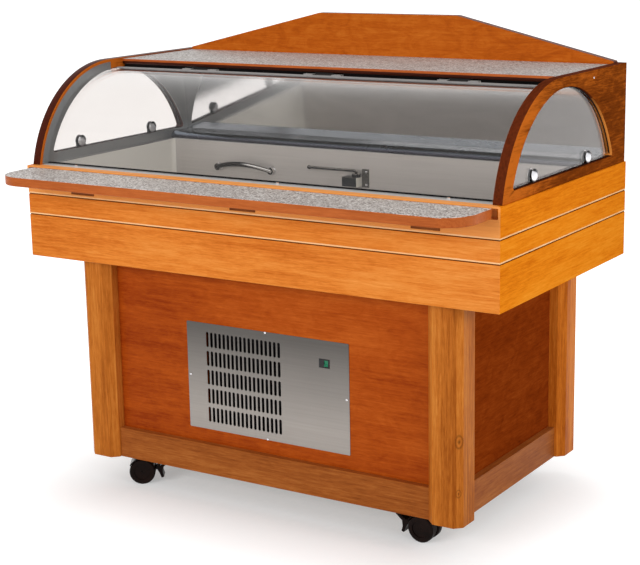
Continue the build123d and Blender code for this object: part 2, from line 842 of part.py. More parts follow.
def flap_hinges():
    """Three butt hinges: fixed leaves on the apron, moving leaves under the flap."""
    middles = [flap_hinge_spacing * step for step in (-1, 0, 1)]
    half_knuckle = flap_knuckle_length / 2
    half = flap_hinge_length / 2
    with BuildPart() as fixed:
        for middle in middles:
            block((middle - half, front_y - flap_leaf_thickness, flap_axis_z - flap_leaf_width),
                  (middle + half, front_y, flap_axis_z - flap_knuckle_radius - moving_gap))
            block((middle - half_knuckle, flap_axis_y, flap_axis_z - flap_knuckle_radius - moving_gap),
                  (middle + half_knuckle, front_y, flap_axis_z))
            bar(Plane.YZ.offset(middle - half_knuckle), (flap_axis_y, flap_axis_z), flap_knuckle_radius,
                flap_knuckle_length)
            bar(Plane.YZ.offset(middle - half), (flap_axis_y, flap_axis_z), flap_pin_radius,
                flap_hinge_length)
    save(fixed, "flap_hinges_fixed")
    with BuildPart() as moving:
        for middle in middles:
            block((middle - half, flap_axis_y - flap_leaf_width, tray_base_z - flap_leaf_thickness),
                  (middle + half, flap_axis_y - flap_knuckle_radius - moving_gap, tray_base_z))
            for start, stop in ((-half, -half_knuckle - knuckle_gap), (half_knuckle + knuckle_gap, half)):
                block((middle + start, flap_axis_y - flap_knuckle_radius - moving_gap, flap_axis_z),
                      (middle + stop, flap_axis_y, tray_base_z))
                bar(Plane.YZ.offset(middle + start), (flap_axis_y, flap_axis_z), flap_knuckle_radius,
                    stop - start)
                bar(Plane.YZ.offset(middle + start), (flap_axis_y, flap_axis_z),
                    flap_pin_radius + pivot_clearance, stop - start, mode=Mode.SUBTRACT)
    save(moving, "flap_hinges_moving")


def bow_handle():
    """Round bow on two short feet on the well's rear wall, arching out and a little up."""
    foot_y = well_rear_y - handle_foot_length
    ends = (handle_x - handle_length / 2, handle_x + handle_length / 2)
    with BuildPart() as handle:
        with BuildLine() as bow:
            ThreePointArc(
                (ends[0], foot_y, handle_z),
                (handle_x, well_rear_y - handle_reach, handle_z + handle_rise),
                (ends[1], foot_y, handle_z),
            )
        with BuildSketch(Plane(origin=bow.line @ 0, z_dir=bow.line % 0)):
            Circle(handle_radius)
        sweep()
        for end_x in ends:
            bar(Plane.XZ.offset(-well_rear_y), (end_x, handle_z), handle_foot_radius, handle_foot_length)
            with Locations((end_x, foot_y, handle_z)):
                Sphere(handle_radius)
    save(handle, "bow_handle")


def latch_body():
    """Latch block on the well's rear wall, with its screw plate and an upright bore."""
    plate_base_z = latch_base_z + (latch_height - latch_plate_height) / 2 + latch_plate_lift
    with BuildPart() as body:
        block((latch_x - latch_width, well_rear_y - latch_depth, latch_base_z),
              (latch_x, well_rear_y, latch_top_z))
        fillet(body.faces().sort_by(Axis.Y)[0].edges(), latch_arris)
        block((latch_x, well_rear_y - latch_plate_thickness, plate_base_z),
              (latch_x + latch_plate_width, well_rear_y, plate_base_z + latch_plate_height))
        bar(Plane.XY.offset(latch_top_z), (lever_x, lever_y), lever_stem_radius + pivot_clearance,
            -lever_stem_length, mode=Mode.SUBTRACT)
    save(body, "latch_body")


def latch_lever():
    """Lever on an upright stem: hub on the latch, and a long bent rod with a ball at its end."""
    hub_z = latch_top_z + moving_gap
    rod_z = hub_z + lever_hub_height + lever_rise
    stem_length = lever_stem_length - 2 * moving_gap
    end_x = lever_x - lever_length
    with BuildPart() as lever:
        bar(Plane.XY.offset(hub_z), (lever_x, lever_y), lever_hub_radius, lever_hub_height)
        fillet(lever.edges().group_by(Axis.Z)[-1], latch_arris)
        bar(Plane.XY.offset(hub_z), (lever_x, lever_y), lever_stem_radius, -stem_length)
        with BuildLine() as rod:
            FilletPolyline((lever_x, lever_y, hub_z), (lever_x, lever_y, rod_z), (end_x, lever_y, rod_z),
                           radius=lever_bend)
        with BuildSketch(Plane(origin=rod.line @ 0, z_dir=rod.line % 0)):
            Circle(lever_radius)
        sweep()
        with Locations((end_x, lever_y, rod_z)):
            Sphere(lever_ball_radius, rotation=(0, 90, 0))
    save(lever, "latch_lever")


def grille_plate():
    """Steel plate with five rows of upright slots and the switch's cut-out."""
    with BuildPart() as plate:
        with BuildSketch(Plane.XZ.offset(-panel_front_y)):
            with Locations((grille_x, grille_z)):
                RectangleRounded(grille_width, grille_height, grille_corner_radius)
            with Locations((slot_field_x, slot_field_z)):
                with GridLocations(slot_spacing_x, slot_spacing_z, slot_columns, slot_rows):
                    SlotOverall(slot_length, slot_width, rotation=90, mode=Mode.SUBTRACT)
            with Locations((switch_x, switch_z)):
                Rectangle(switch_width, switch_height, mode=Mode.SUBTRACT)
        extrude(amount=grille_thickness)
    save(plate, "grille_plate")


def switch_bezel():
    """Switch housing through the plate, with a flange in front and a well for the rocker."""
    half_x, half_z = switch_width / 2, switch_height / 2
    flange_x, flange_z = half_x + switch_flange, half_z + switch_flange
    well_x = rocker_width / 2 + rocker_gap
    well_z = rocker_height / 2 + rocker_swing_gap
    pin_reach = well_x + rocker_pin_bite + pivot_clearance
    with BuildPart() as housing:
        block((switch_x - flange_x, switch_face_y, switch_z - flange_z),
              (switch_x + flange_x, grille_y, switch_z + flange_z))
        fillet(housing.faces().sort_by(Axis.Y)[0].edges(), switch_arris)
        block((switch_x - half_x, grille_y, switch_z - half_z),
              (switch_x + half_x, grille_y + switch_depth, switch_z + half_z))
        block((rocker_x - well_x, switch_face_y, switch_z - well_z),
              (rocker_x + well_x, switch_face_y + rocker_well_depth, switch_z + well_z), mode=Mode.SUBTRACT)
        bar(Plane.YZ.offset(rocker_x - pin_reach), (rocker_pin_y, switch_z),
            rocker_pin_radius + pivot_clearance, 2 * pin_reach, mode=Mode.SUBTRACT)
    save(housing, "switch_bezel")


def switch_rocker():
    """Rocker with a shallow valley across its face, tilted to its off position on its pin."""
    half = rocker_height / 2
    pin_reach = rocker_width / 2 + rocker_gap + rocker_pin_bite
    tilt = math.radians(rocker_tilt)
    middle = (rocker_x, rocker_pin_y, switch_z)
    tilted = Plane(origin=middle, x_dir=(0, -math.cos(tilt), math.sin(tilt)), z_dir=(-1, 0, 0))
    ridge = rocker_valley + rocker_rise
    with BuildPart() as rocker:
        with BuildSketch(tilted.offset(-rocker_width / 2)):
            with BuildLine():
                Polyline((rocker_valley, 0), (ridge, half), (-rocker_back, half), (-rocker_back, -half),
                         (ridge, -half), close=True)
            make_face()
        extrude(amount=rocker_width)
        bar(tilted.offset(-pin_reach), (0, 0), rocker_pin_radius, 2 * pin_reach)
    save(rocker, "switch_rocker")


def castor_plates():
    """Four mounting plates under the base board, each with its kingpin."""
    stems = [(x, y) for _, x, y, _, _ in castors]
    with BuildPart() as plates:
        with BuildSketch(Plane.XY.offset(castor_plate_z)):
            with Locations(stems):
                Rectangle(castor_plate, castor_plate)
                with GridLocations(castor_hole_spacing, castor_hole_spacing, 2, 2):
                    Circle(castor_hole_radius, mode=Mode.SUBTRACT)
        extrude(amount=castor_plate_thickness)
        with BuildSketch(Plane.XY.offset(castor_plate_z)):
            with Locations(stems):
                Circle(kingpin_radius)
        extrude(amount=-kingpin_length)
    save(plates, "castor_plates")


def castor_wheels(name, side):
    """Pair of wheels on one axle, each with a dished outer face."""
    half_track = wheel_track / 2
    with BuildPart() as wheels:
        for start in (-half_track, half_track - wheel_width):
            bar(side.offset(start), (0, 0), wheel_radius, wheel_width)
        chamfer(wheels.edges().filter_by(GeomType.CIRCLE), wheel_shoulder)
        for start, depth in ((-half_track, dish_depth), (half_track, -dish_depth)):
            bar(side.offset(start), (0, 0), dish_radius, depth, mode=Mode.SUBTRACT)
        bar(side.offset(-half_track), (0, 0), axle_radius + pivot_clearance, wheel_track, mode=Mode.SUBTRACT)
    save(wheels, f"castor_wheels_{name}")


def guard_sector(radius):
    """Part of a disc within the guard's angle of straight up, in the sketch in hand."""
    reach = 2 * radius
    edge_x = reach * math.sin(math.radians(guard_half_angle))
    edge_z = reach * math.cos(math.radians(guard_half_angle))
    Circle(radius)
    with BuildLine() as wedge:
        Polyline((0, 0), (edge_x, edge_z), (edge_x, reach), (-edge_x, reach), (-edge_x, edge_z), close=True)
    make_face(wedge.edges(), mode=Mode.INTERSECT)


def castor_hood(name, ground, side, braked):
    """Hood of one castor: neck on the kingpin, guard over both wheels, web between them and axle."""
    half_track = wheel_track / 2
    half_web = web_thickness / 2
    neck_base_z = wheel_radius + neck_foot
    with BuildPart() as hood:
        with BuildSketch(side.offset(-half_track)):
            guard_sector(guard_outer)
        extrude(amount=wheel_track)
        bar(ground.offset(neck_base_z), (0, 0), neck_radius, neck_top_z - neck_base_z)
        for start in (-half_track, half_web):
            bar(side.offset(start), (0, 0), guard_inner, half_track - half_web, mode=Mode.SUBTRACT)
        bar(side.offset(-half_web), (0, 0), web_radius, web_thickness)
        bar(side.offset(dish_depth - half_track), (0, 0), axle_radius, wheel_track - 2 * dish_depth)
        bar(ground.offset(neck_top_z), (0, 0), kingpin_radius + pivot_clearance, -kingpin_length,
            mode=Mode.SUBTRACT)
        if braked:
            pivot_x, pivot_z = pedal_pivot
            with BuildSketch(side.offset(-half_web)):
                with Locations((pivot_x / 2, pivot_z / 2)):
                    SlotCenterToCenter(math.hypot(pivot_x, pivot_z), 2 * pedal_lug_radius,
                                       rotation=math.degrees(math.atan2(pivot_z, pivot_x)))
            extrude(amount=web_thickness)
            bar(side.offset(-pedal_width / 2), pedal_pivot, pedal_pin_radius, pedal_width)
    save(hood, f"castor_hood_{name}")


def castor_pedal(name, side):
    """Brake rocker of one castor, forked round the hood's lug."""
    pivot = Plane(origin=side.from_local_coords(Vector(*pedal_pivot, 0)), x_dir=side.x_dir, z_dir=side.z_dir)
    fork = web_thickness + 2 * pedal_gap
    with BuildPart() as pedal:
        with BuildSketch(pivot.offset(-pedal_width / 2)) as profile:
            with BuildLine():
                Polyline(*pedal_outline, close=True)
            make_face()
            fillet(profile.vertices(), pedal_arris)
            Circle(pedal_hub_radius)
        extrude(amount=pedal_width)
        with BuildSketch(pivot.offset(-fork / 2)):
            Circle(pedal_hub_radius + pedal_gap)
            Rectangle(pedal_fork_half, 2 * pedal_fork_half, align=(Align.MIN, Align.CENTER))
        extrude(amount=fork, mode=Mode.SUBTRACT)
        bar(pivot.offset(-pedal_width / 2), (0, 0), pedal_pin_radius + pivot_clearance, pedal_width,
            mode=Mode.SUBTRACT)
    save(pedal, f"castor_pedal_{name}")


def castor(name, stem_x, stem_y, trail_angle, braked):
    """Castor on its plane at the stem, with a side plane through the middle of its axle."""
    turn = math.radians(trail_angle)
    ground = Plane(origin=(stem_x, stem_y, 0), x_dir=(math.cos(turn), math.sin(turn), 0), z_dir=(0, 0, 1))
    hub = ground.from_local_coords(Vector(castor_trail, 0, wheel_radius))
    side = Plane(origin=hub, x_dir=ground.x_dir, z_dir=-ground.y_dir)
    castor_wheels(name, side)
    castor_hood(name, ground, side, braked)
    if braked:
        castor_pedal(name, side)


def condenser():
    """Finned condenser with its fan cowl, and the fan's motor on a crossed spider behind."""
    low_x, high_x = slot_field_x - condenser_width / 2, slot_field_x + condenser_width / 2
    with BuildPart() as unit:
        block((low_x, condenser_front_y, board_top_z), (high_x, condenser_rear_y, condenser_top_z))
        with BuildSketch(Plane.XZ.offset(-condenser_front_y)):
            with Locations((slot_field_x, board_top_z + condenser_height / 2)):
                with GridLocations(fin_spacing, 0, fin_count, 1):
                    Rectangle(fin_gap_width, condenser_height - 2 * fin_margin)
        extrude(amount=-fin_gap_depth, mode=Mode.SUBTRACT)
        block((low_x, condenser_rear_y, board_top_z), (high_x, cowl_rear_y, condenser_top_z))
        block((low_x + cowl_wall, condenser_rear_y, board_top_z + cowl_wall),
              (high_x - cowl_wall, cowl_rear_y - cowl_wall, condenser_top_z - cowl_wall), mode=Mode.SUBTRACT)
        bar(Plane.XZ.offset(-cowl_rear_y), fan_axis, fan_opening_radius, cowl_wall, mode=Mode.SUBTRACT)
        with BuildSketch(Plane.XZ.offset(-cowl_rear_y)):
            with Locations(fan_axis):
                for turn in (45, -45):
                    Rectangle(2 * (fan_opening_radius + spider_width), spider_width, rotation=turn)
        extrude(amount=-spider_thickness)
        bar(Plane.XZ.offset(-cowl_rear_y), fan_axis, motor_radius, -motor_length)
        bar(Plane.XZ.offset(-cowl_rear_y), fan_axis, shaft_radius, cowl_depth - fan_gap)
    save(unit, "condenser")


def fan():
    """Bladed fan on the motor's shaft, trimmed to a round outline."""
    middle = Vector(slot_field_x, fan_y + fan_hub_length / 2, slot_field_z)
    root = fan_hub_radius / 2
    with BuildPart() as rotor:
        for blade in range(fan_blades):
            turn = math.tau * blade / fan_blades
            outward = Vector(math.cos(turn), 0, math.sin(turn))
            with BuildSketch(Plane(origin=middle + outward * root, x_dir=(0, 1, 0), z_dir=outward)):
                Rectangle(blade_width, blade_thickness, rotation=blade_pitch)
            extrude(amount=fan_radius)
        bar(Plane.XZ.offset(-fan_y - fan_hub_length / 2 + blade_width / 2), fan_axis, fan_radius,
            -blade_width, mode=Mode.INTERSECT)
        bar(Plane.XZ.offset(-fan_y), fan_axis, fan_hub_radius, -fan_hub_length)
        bar(Plane.XZ.offset(-fan_y), fan_axis, shaft_radius + pivot_clearance, -fan_hub_length,
            mode=Mode.SUBTRACT)
    save(rotor, "fan")


def compressor():
    """Sealed compressor: domed can on a plate with four feet, pipe stubs and a terminal box."""
    place = Plane(origin=(compressor_x, compressor_y, board_top_z))
    with BuildPart() as unit:
        bar(Plane.XY.offset(can_z), (compressor_x, compressor_y), compressor_radius, compressor_height)
        rims = unit.edges().filter_by(GeomType.CIRCLE).sort_by(Axis.Z)
        fillet(rims[-1], compressor_dome)
        fillet(rims[0], compressor_skirt)
        seam_z = can_z + (compressor_height - compressor_seam_height) / 2
        bar(Plane.XY.offset(seam_z), (compressor_x, compressor_y), compressor_seam_radius,
            compressor_seam_height)
        with BuildSketch(place.offset(compressor_foot_height)):
            RectangleRounded(compressor_base, compressor_base, compressor_foot_radius)
        extrude(amount=compressor_base_thickness)
        with BuildSketch(place):
            with GridLocations(compressor_foot_spacing, compressor_foot_spacing, 2, 2):
                Circle(compressor_foot_radius)
        extrude(amount=compressor_foot_height)
        bar(Plane.YZ.offset(compressor_x - stub_reach), (compressor_y, stub_z), stub_radius, 2 * stub_reach)
        box_y = compressor_y - compressor_seam_radius
        box_z = can_z + compressor_skirt
        block((compressor_x - terminal_width / 2, box_y, box_z),
              (compressor_x + terminal_width / 2, box_y + terminal_depth, box_z + terminal_height))
    save(unit, "compressor")


def refrigerant_lines():
    """Discharge, liquid and suction lines between the compressor, the condenser and the well."""
    suction, liquid = line_places
    pipe_y = (condenser_front_y + condenser_rear_y) / 2
    bend_x = (condenser_side_x + compressor_x - stub_reach) / 2
    liquid_z = board_top_z + liquid_lift
    routes = (
        ((compressor_x - stub_reach, compressor_y, stub_z), (bend_x, compressor_y, stub_z),
         (bend_x, pipe_y, stub_z), (condenser_side_x, pipe_y, stub_z)),
        ((condenser_side_x, pipe_y, liquid_z), (liquid_x, pipe_y, liquid_z), (*liquid, liquid_z),
         (*liquid, deck_top_z)),
        ((compressor_x + stub_reach, compressor_y, stub_z), (*suction, stub_z), (*suction, deck_top_z)),
    )
    with BuildPart() as lines:
        for route in routes:
            with BuildLine() as path:
                FilletPolyline(*route, radius=line_bend)
            with BuildSketch(Plane(origin=path.line @ 0, z_dir=path.line % 0)):
                Circle(line_radius)
            sweep()
    save(lines, "refrigerant_lines")


aprons()
stand()
front_panel()
base_board()
deck_board()

well_tank()
well_insulation()
rear_ledge()
back_panel()
bow_handle()
latch_body()
latch_lever()

for side, name in ((-1, "left"), (1, "right")):
    cheek(side, f"{name}_cheek")
    liner(side, f"{name}_liner")
    window_pane(side, f"{name}_window")
window_clamps()
top_shelf()
crown_board()
lamp()

front_glass()
glass_rail()
glass_hinges()
tray_flap()
flap_hinges()

grille_plate()
switch_bezel()
switch_rocker()
condenser()
fan()
compressor()
refrigerant_lines()

castor_plates()
for castor_place in castors:
    castor(*castor_place)
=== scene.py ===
import math

import bmesh
import bpy
from mathutils import Matrix, Vector


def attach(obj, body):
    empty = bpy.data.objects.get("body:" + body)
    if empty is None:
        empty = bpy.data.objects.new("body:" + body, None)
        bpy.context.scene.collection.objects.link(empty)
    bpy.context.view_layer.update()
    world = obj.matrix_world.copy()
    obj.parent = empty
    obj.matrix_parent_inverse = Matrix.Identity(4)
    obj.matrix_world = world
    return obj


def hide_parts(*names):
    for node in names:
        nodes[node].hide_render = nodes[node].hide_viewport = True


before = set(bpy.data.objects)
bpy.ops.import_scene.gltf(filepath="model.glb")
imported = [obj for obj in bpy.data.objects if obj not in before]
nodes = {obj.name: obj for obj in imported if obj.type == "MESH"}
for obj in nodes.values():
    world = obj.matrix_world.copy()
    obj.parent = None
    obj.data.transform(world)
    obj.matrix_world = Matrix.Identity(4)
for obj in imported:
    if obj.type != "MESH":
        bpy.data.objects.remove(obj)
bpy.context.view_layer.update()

# Fish buffet counter in metres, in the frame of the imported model.

# Camera, solved from the photograph's edges
image_width = 640
camera_focal = 1600.67
camera_azimuth = 32.54
camera_elevation = 13.09
camera_roll = -1.11
camera_place = (2.3669, -3.6511, 1.6166)
sensor_width = 36.0

# World and floor
ambient = 0.42
floor_half = 40.0
glow_near = 0.34
glow_half = (0.45, 0.25)
glow_reach = 0.66

# Grain directions
ALONG_X, ALONG_Y, ALONG_Z = 0, 1, 2

# Studio flag: a dark sheet that only mirrors and glass see
flag_x = -3.4
flag_span = (-5.4, -2.2)
flag_height = 1.6

# Painted reflections on chrome, as tones by slope that stand for the dark and bright things it would mirror:
# a direction, then tones from facing away to facing it
chrome_painted_reflection = ((0.1, 0.1, 1.0), ((0.0, (250, 250, 250)), (0.58, (214, 212, 208)), (0.72, (84, 78, 74)),
                                 (1.0, (44, 40, 38))))
clip_painted_reflection = ((0.15, 0.55, 0.82), ((0.0, (255, 255, 255)), (0.6, (240, 240, 242)), (0.68, (36, 34, 36)),
                                   (0.94, (20, 18, 20)), (1.0, (120, 120, 124))))
bow_painted_reflection = ((1.0, -0.1, 0.1), ((0.0, (52, 46, 42)), (0.57, (44, 38, 34)), (0.64, (255, 255, 255)),
                                (1.0, (230, 228, 224))))
lever_painted_reflection = ((0.1, 0.1, 1.0), ((0.0, (40, 36, 33)), (0.62, (46, 42, 38)), (0.74, (226, 224, 220)),
                                 (1.0, (240, 238, 234))))
# On the latch, tones by slope paint a highlight on its right face and paint shade on its top and front
latch_painted_light_and_shade = ((1.0, 0.0, -0.3), ((0.0, (60, 56, 52)), (0.52, (88, 84, 80)), (0.7, (200, 198, 190)),
                                  (0.95, (255, 255, 250))))
# Painted reflection on the rounded front of the rear ledge: dark, bluish and pale bands by slope
ledge_painted_reflection = ((0, 0, 1), ((0.5, (66, 62, 70)), (0.64, (90, 88, 100)), (0.8, (150, 160, 170)),
                           (0.97, (136, 144, 152))))

# Tones of the chips in the laminate
chip_tones = ((0.0, (84, 70, 62)), (0.25, (158, 144, 136)), (0.55, (202, 194, 188)), (1.0, (240, 236, 232)))

# Lacquer: satin wood is seen nearly square on, and matt wood at a slant, where a coat would turn it white
satin = 0.035
matt = 0.01
satin_ior = 1.5
matt_ior = 1.05

# Borders of tones on wood and laminate, among them those of painted light and painted shade
edge_facing = 0.55
painted_reveal_span = (0.2, 0.33)
painted_light_blend = 0.0015
shadow_blend = 0.0006

# Edges of the scene's own pieces, and edges and swelling of CAD nodes
corner_angle = math.radians(50)
crease_angle = math.radians(34)
bevel_steps = 2
weld_reach = 0.00001
arris_width = 0.0014
handle_swell = 0.0022
lever_swell = 0.0012

# Window clamps and seals, at the places of the panes
pane_x = 0.7225
clamp_middles = (-0.0957, 0.2373)
clamp_foot = 0.9578
clamp_shoulder = 0.9723
clamp_pad_radius = 0.0158
clamp_pad_reach = (0.0032, 0.0052)
clamp_dome_sink = 0.0004
clamp_dome_middle = 0.9741
clamp_dome = ((0.0, 0.0), (0.0166, 0.0), (0.0166, 0.0012), (0.0155, 0.0028), (0.0128, 0.0044),
              (0.0088, 0.0056), (0.0045, 0.0061), (0.0, 0.0062))
clamp_dome_steps = 36
window_y = 0.0753
window_z = 0.843
window_radius = 0.33
window_sill = 0.957
window_seal_radius = 0.0016
window_seal_inset = 0.0012
window_seal_reach = 0.0045

# Foot of the curved glass, on the apron
strip_span = ((-0.7055, -0.2624, 0.9301), (0.7055, -0.2611, 0.9319))
seal_span = ((-0.7042, -0.2607, 0.9323), (0.7042, -0.2518, 0.9352))
# Chrome pads put where the rim shows glints, standing in for reflections
pad_places = (-0.5962, 0.0823, 0.5803)
pad_half = 0.005
pad_depth = (-0.2662, -0.2612)
pad_rise = (0.9301, 0.9344)

# Apron and its grooves
apron_top = 0.93
apron_front = -0.309
apron_rear = 0.471
apron_side = 0.74
groove_drops = (0.078, 0.137)
groove_height = 0.0035
bead_proud = 0.0003
bead_lip = ((0.0, 0.0034), (0.0, 0.0002), (0.0008, -0.0006), (0.0026, -0.0006), (0.0026, 0.0034))
shade_reach = (0.0014, 0.0049)
shade_inset = 0.0015
shade_gap = 0.0001

# Crest of the curved glass, and the cheeks' inner fronts
gasket_spans = ((-0.704, -0.482), (-0.358, -0.062), (0.062, 0.358), (0.482, 0.704))
gasket_depth = (0.0998, 0.1035)
gasket_foot = 1.1705
# Black lip before the lamp: painted shade under the shelf's front
shade_lip_half = 0.7065
shade_lip_depth = (0.1385, 0.1425)
shade_lip_foot = 1.172
shelf_under = 1.1797
arc_y = 0.0396
arc_z = 0.865
strip_inner = 0.3035
strip_outer = 0.3265
strip_sweep = math.radians(78)
strip_steps = 32
strip_thickness = 0.0009
cheek_inner = 0.709
cheek_face = 0.736
cheek_screw = (0.2454, 1.1801)
cheek_screw_radius = 0.0026

# Well, its handle and its latch
well_mouth = ((-0.6945, -0.2415), (0.6945, -0.2415), (0.6945, 0.3175), (-0.6945, 0.3175))
well_bead_z = 0.9302
well_bead_radius = 0.0017
well_back = 0.318
handle_x = -0.427
handle_z = 0.852
handle_reach = 0.098
handle_collar = ((0.0, 0.0), (0.0125, 0.0), (0.0125, 0.0012), (0.0112, 0.0026), (0.0092, 0.0034),
                 (0.0, 0.0034))
latch_low = (-0.062, 0.284, 0.829)
latch_high = (-0.012, 0.318, 0.857)
latch_plate_x = 0.003
latch_plate_z = 0.852
latch_plate_thickness = 0.002
latch_screw_rise = 0.019
latch_screw_radius = 0.0042
# Dark sheets on the latch's front and left faces: painted shade
latch_face_proud = 0.0006
latch_face_sunk = 0.0005
latch_front_inset = 0.0012
latch_side_inset = (0.004, 0.003)

# Grille plate
plate_x = -0.0035
plate_z = 0.36
plate_face = -0.2165
plate_screw_places = ((0.0, 0.151), (0.0, -0.151), (-0.2555, 0.0), (0.2555, 0.0))
plate_screw_radius = 0.0036

# Lamp
socket_x = 0.6585
socket_half = 0.0055
socket_depth = (0.1585, 0.1815)
socket_rise = (1.1615, 1.1795)
tube_end = (0.652, 0.17, 1.17)
tube_cap = ((0.0, 0.0), (0.0079, 0.0), (0.0079, 0.012), (0.0074, 0.014), (0.0, 0.014))

# Castor plates
stem_places = ((-0.438, -0.182), (0.438, -0.182), (-0.438, 0.393), (0.438, 0.393))
plate_under = 0.097
bolt_reach = 0.023
bolt_radius = 0.0042


def linear(red, green, blue):
    """Linear colour of an sRGB triple on a scale of 255."""
    shares = [value / 255 for value in (red, green, blue)]
    curved = [s / 12.92 if s <= 0.04045 else ((s + 0.055) / 1.055) ** 2.4 for s in shares]
    return (*curved, 1.0)


class Graph:
    """A node tree, with short calls for its nodes."""

    def __init__(self, tree):
        self.tree = tree

    def add(self, kind, inputs=(), **settings):
        """New node, with its settings and what goes into its sockets."""
        node = self.tree.nodes.new("ShaderNode" + kind)
        for key, value in settings.items():
            setattr(node, key, value)
        for key, value in dict(inputs).items():
            self.feed(node.inputs[key], value)
        return node

    def feed(self, socket, value):
        """Links a socket to another one, or gives it a value."""
        if isinstance(value, bpy.types.NodeSocket):
            self.tree.links.new(value, socket)
        else:
            socket.default_value = value

    def math(self, operation, first, second=0.0):
        return self.add("Math", {0: first, 1: second}, operation=operation).outputs[0]


class Recipe(Graph):
    """One material in the making."""

    def __init__(self, name, roughness=0.5, metallic=0.0):
        self.material = bpy.data.materials.new(name)
        self.material.use_nodes = True
        super().__init__(self.material.node_tree)
        self.shader = self.tree.nodes["Principled BSDF"]
        self.shader.inputs["Roughness"].default_value = roughness
        self.shader.inputs["Metallic"].default_value = metallic
        self.coordinates = self.add("TexCoord").outputs

    def set(self, **values):
        """Feeds the shader's own sockets; an underscore stands for a space."""
        for key, value in values.items():
            self.feed(self.shader.inputs[key.replace("_", " ")], value)

    def stretched(self, scale, shift=(0, 0, 0)):
        inputs = {"Vector": self.coordinates["Object"], "Scale": scale, "Location": shift}
        return self.add("Mapping", inputs).outputs["Vector"]

    def place(self, axis):
        """How far along an axis of the part the surface lies."""
        return self.add("SeparateXYZ", {"Vector": self.coordinates["Object"]}).outputs[axis]

    def noise(self, vector, scale=1.0, detail=3.0, roughness=0.55, distortion=0.0):
        texture = self.add("TexNoise", {"Vector": vector, "Scale": scale, "Detail": detail,
                                        "Roughness": roughness, "Distortion": distortion})
        return texture.outputs["Fac"]

    def ramp(self, factor, stops):
        node = self.add("ValToRGB", {"Fac": factor})
        elements = node.color_ramp.elements
        while len(elements) < len(stops):
            elements.new(0.5)
        for element, (place, colour) in zip(elements, stops):
            element.position = place
            element.color = colour
        return node.outputs["Color"]

    def span(self, value, low, high, to_low=0.0, to_high=1.0):
        node = self.add("MapRange", {"Value": value, "From Min": low, "From Max": high,
                                     "To Min": to_low, "To Max": to_high})
        return node.outputs["Result"]

    def mix(self, factor, first, second, blend_type="MIX"):
        node = self.add("Mix", {0: factor, 6: first, 7: second}, data_type="RGBA", blend_type=blend_type)
        return node.outputs[2]

    def bump(self, height, distance, strength=0.4):
        node = self.add("Bump", {"Height": height, "Distance": distance, "Strength": strength})
        self.feed(self.shader.inputs["Normal"], node.outputs["Normal"])

    def facing(self, axis, limit):
        """1 where the surface faces along an axis of the piece, either way, and 0 elsewhere."""
        split = self.add("SeparateXYZ", {"Vector": self.coordinates["Normal"]})
        return self.math("GREATER_THAN", self.math("ABSOLUTE", split.outputs[axis]), limit)

    def upward(self, limit):
        """1 where the surface faces up, and 0 elsewhere."""
        split = self.add("SeparateXYZ", {"Vector": self.coordinates["Normal"]})
        return self.math("GREATER_THAN", split.outputs[2], limit)


def grain_tone(recipe, axis, seed, figure, mottle):
    """Tone of lacquered wood between 0 and 1: broad figure, streaks and pores along the grain."""
    def along(slow, fast):
        scale = [fast, fast, fast]
        scale[axis] = slow
        return recipe.stretched(scale, (seed, seed * 1.7, seed * 2.3))

    broad = recipe.noise(along(1.6, 14.0), detail=4.0, roughness=0.6, distortion=figure * 0.6)
    streak = recipe.noise(along(9.0, 170.0), detail=5.0, roughness=0.7)
    pores = recipe.noise(along(45.0, 820.0), detail=2.0)
    cloud = recipe.noise(along(14.0, 26.0), detail=5.0, roughness=0.65, distortion=1.4)
    tone = recipe.math("MULTIPLY", broad, 0.38 - mottle / 2)
    for part, share in ((streak, 0.42 - mottle / 2), (cloud, mottle), (pores, 0.2)):
        tone = recipe.math("ADD", tone, recipe.math("MULTIPLY", part, share))
    return tone, streak, pores


def knot_share(recipe, centre, size):
    """How far a knot darkens the wood: a dark heart and a ring, drawn out along a post."""
    shift = tuple(-c for c in centre)
    near = recipe.stretched((1, 1, 1), shift)
    oval = recipe.add("Mapping", {"Vector": near, "Scale": (1.0, 1.0, 0.62)}).outputs["Vector"]
    away = recipe.add("VectorMath", {0: oval}, operation="LENGTH").outputs["Value"]
    uneven = recipe.math("MULTIPLY", recipe.noise(recipe.coordinates["Object"], 260.0, 2.0), size * 0.35)
    away = recipe.math("ADD", away, uneven)
    heart = recipe.span(away, size * 0.25, size * 0.6, 0.75, 0.0)
    off_ring = recipe.math("ABSOLUTE", recipe.span(away, size * 0.75, size * 1.25, -1.0, 1.0))
    ring = recipe.math("MAXIMUM", recipe.math("SUBTRACT", 1.0, off_ring), 0.0)
    return recipe.math("MAXIMUM", heart, recipe.math("MULTIPLY", ring, 0.55))


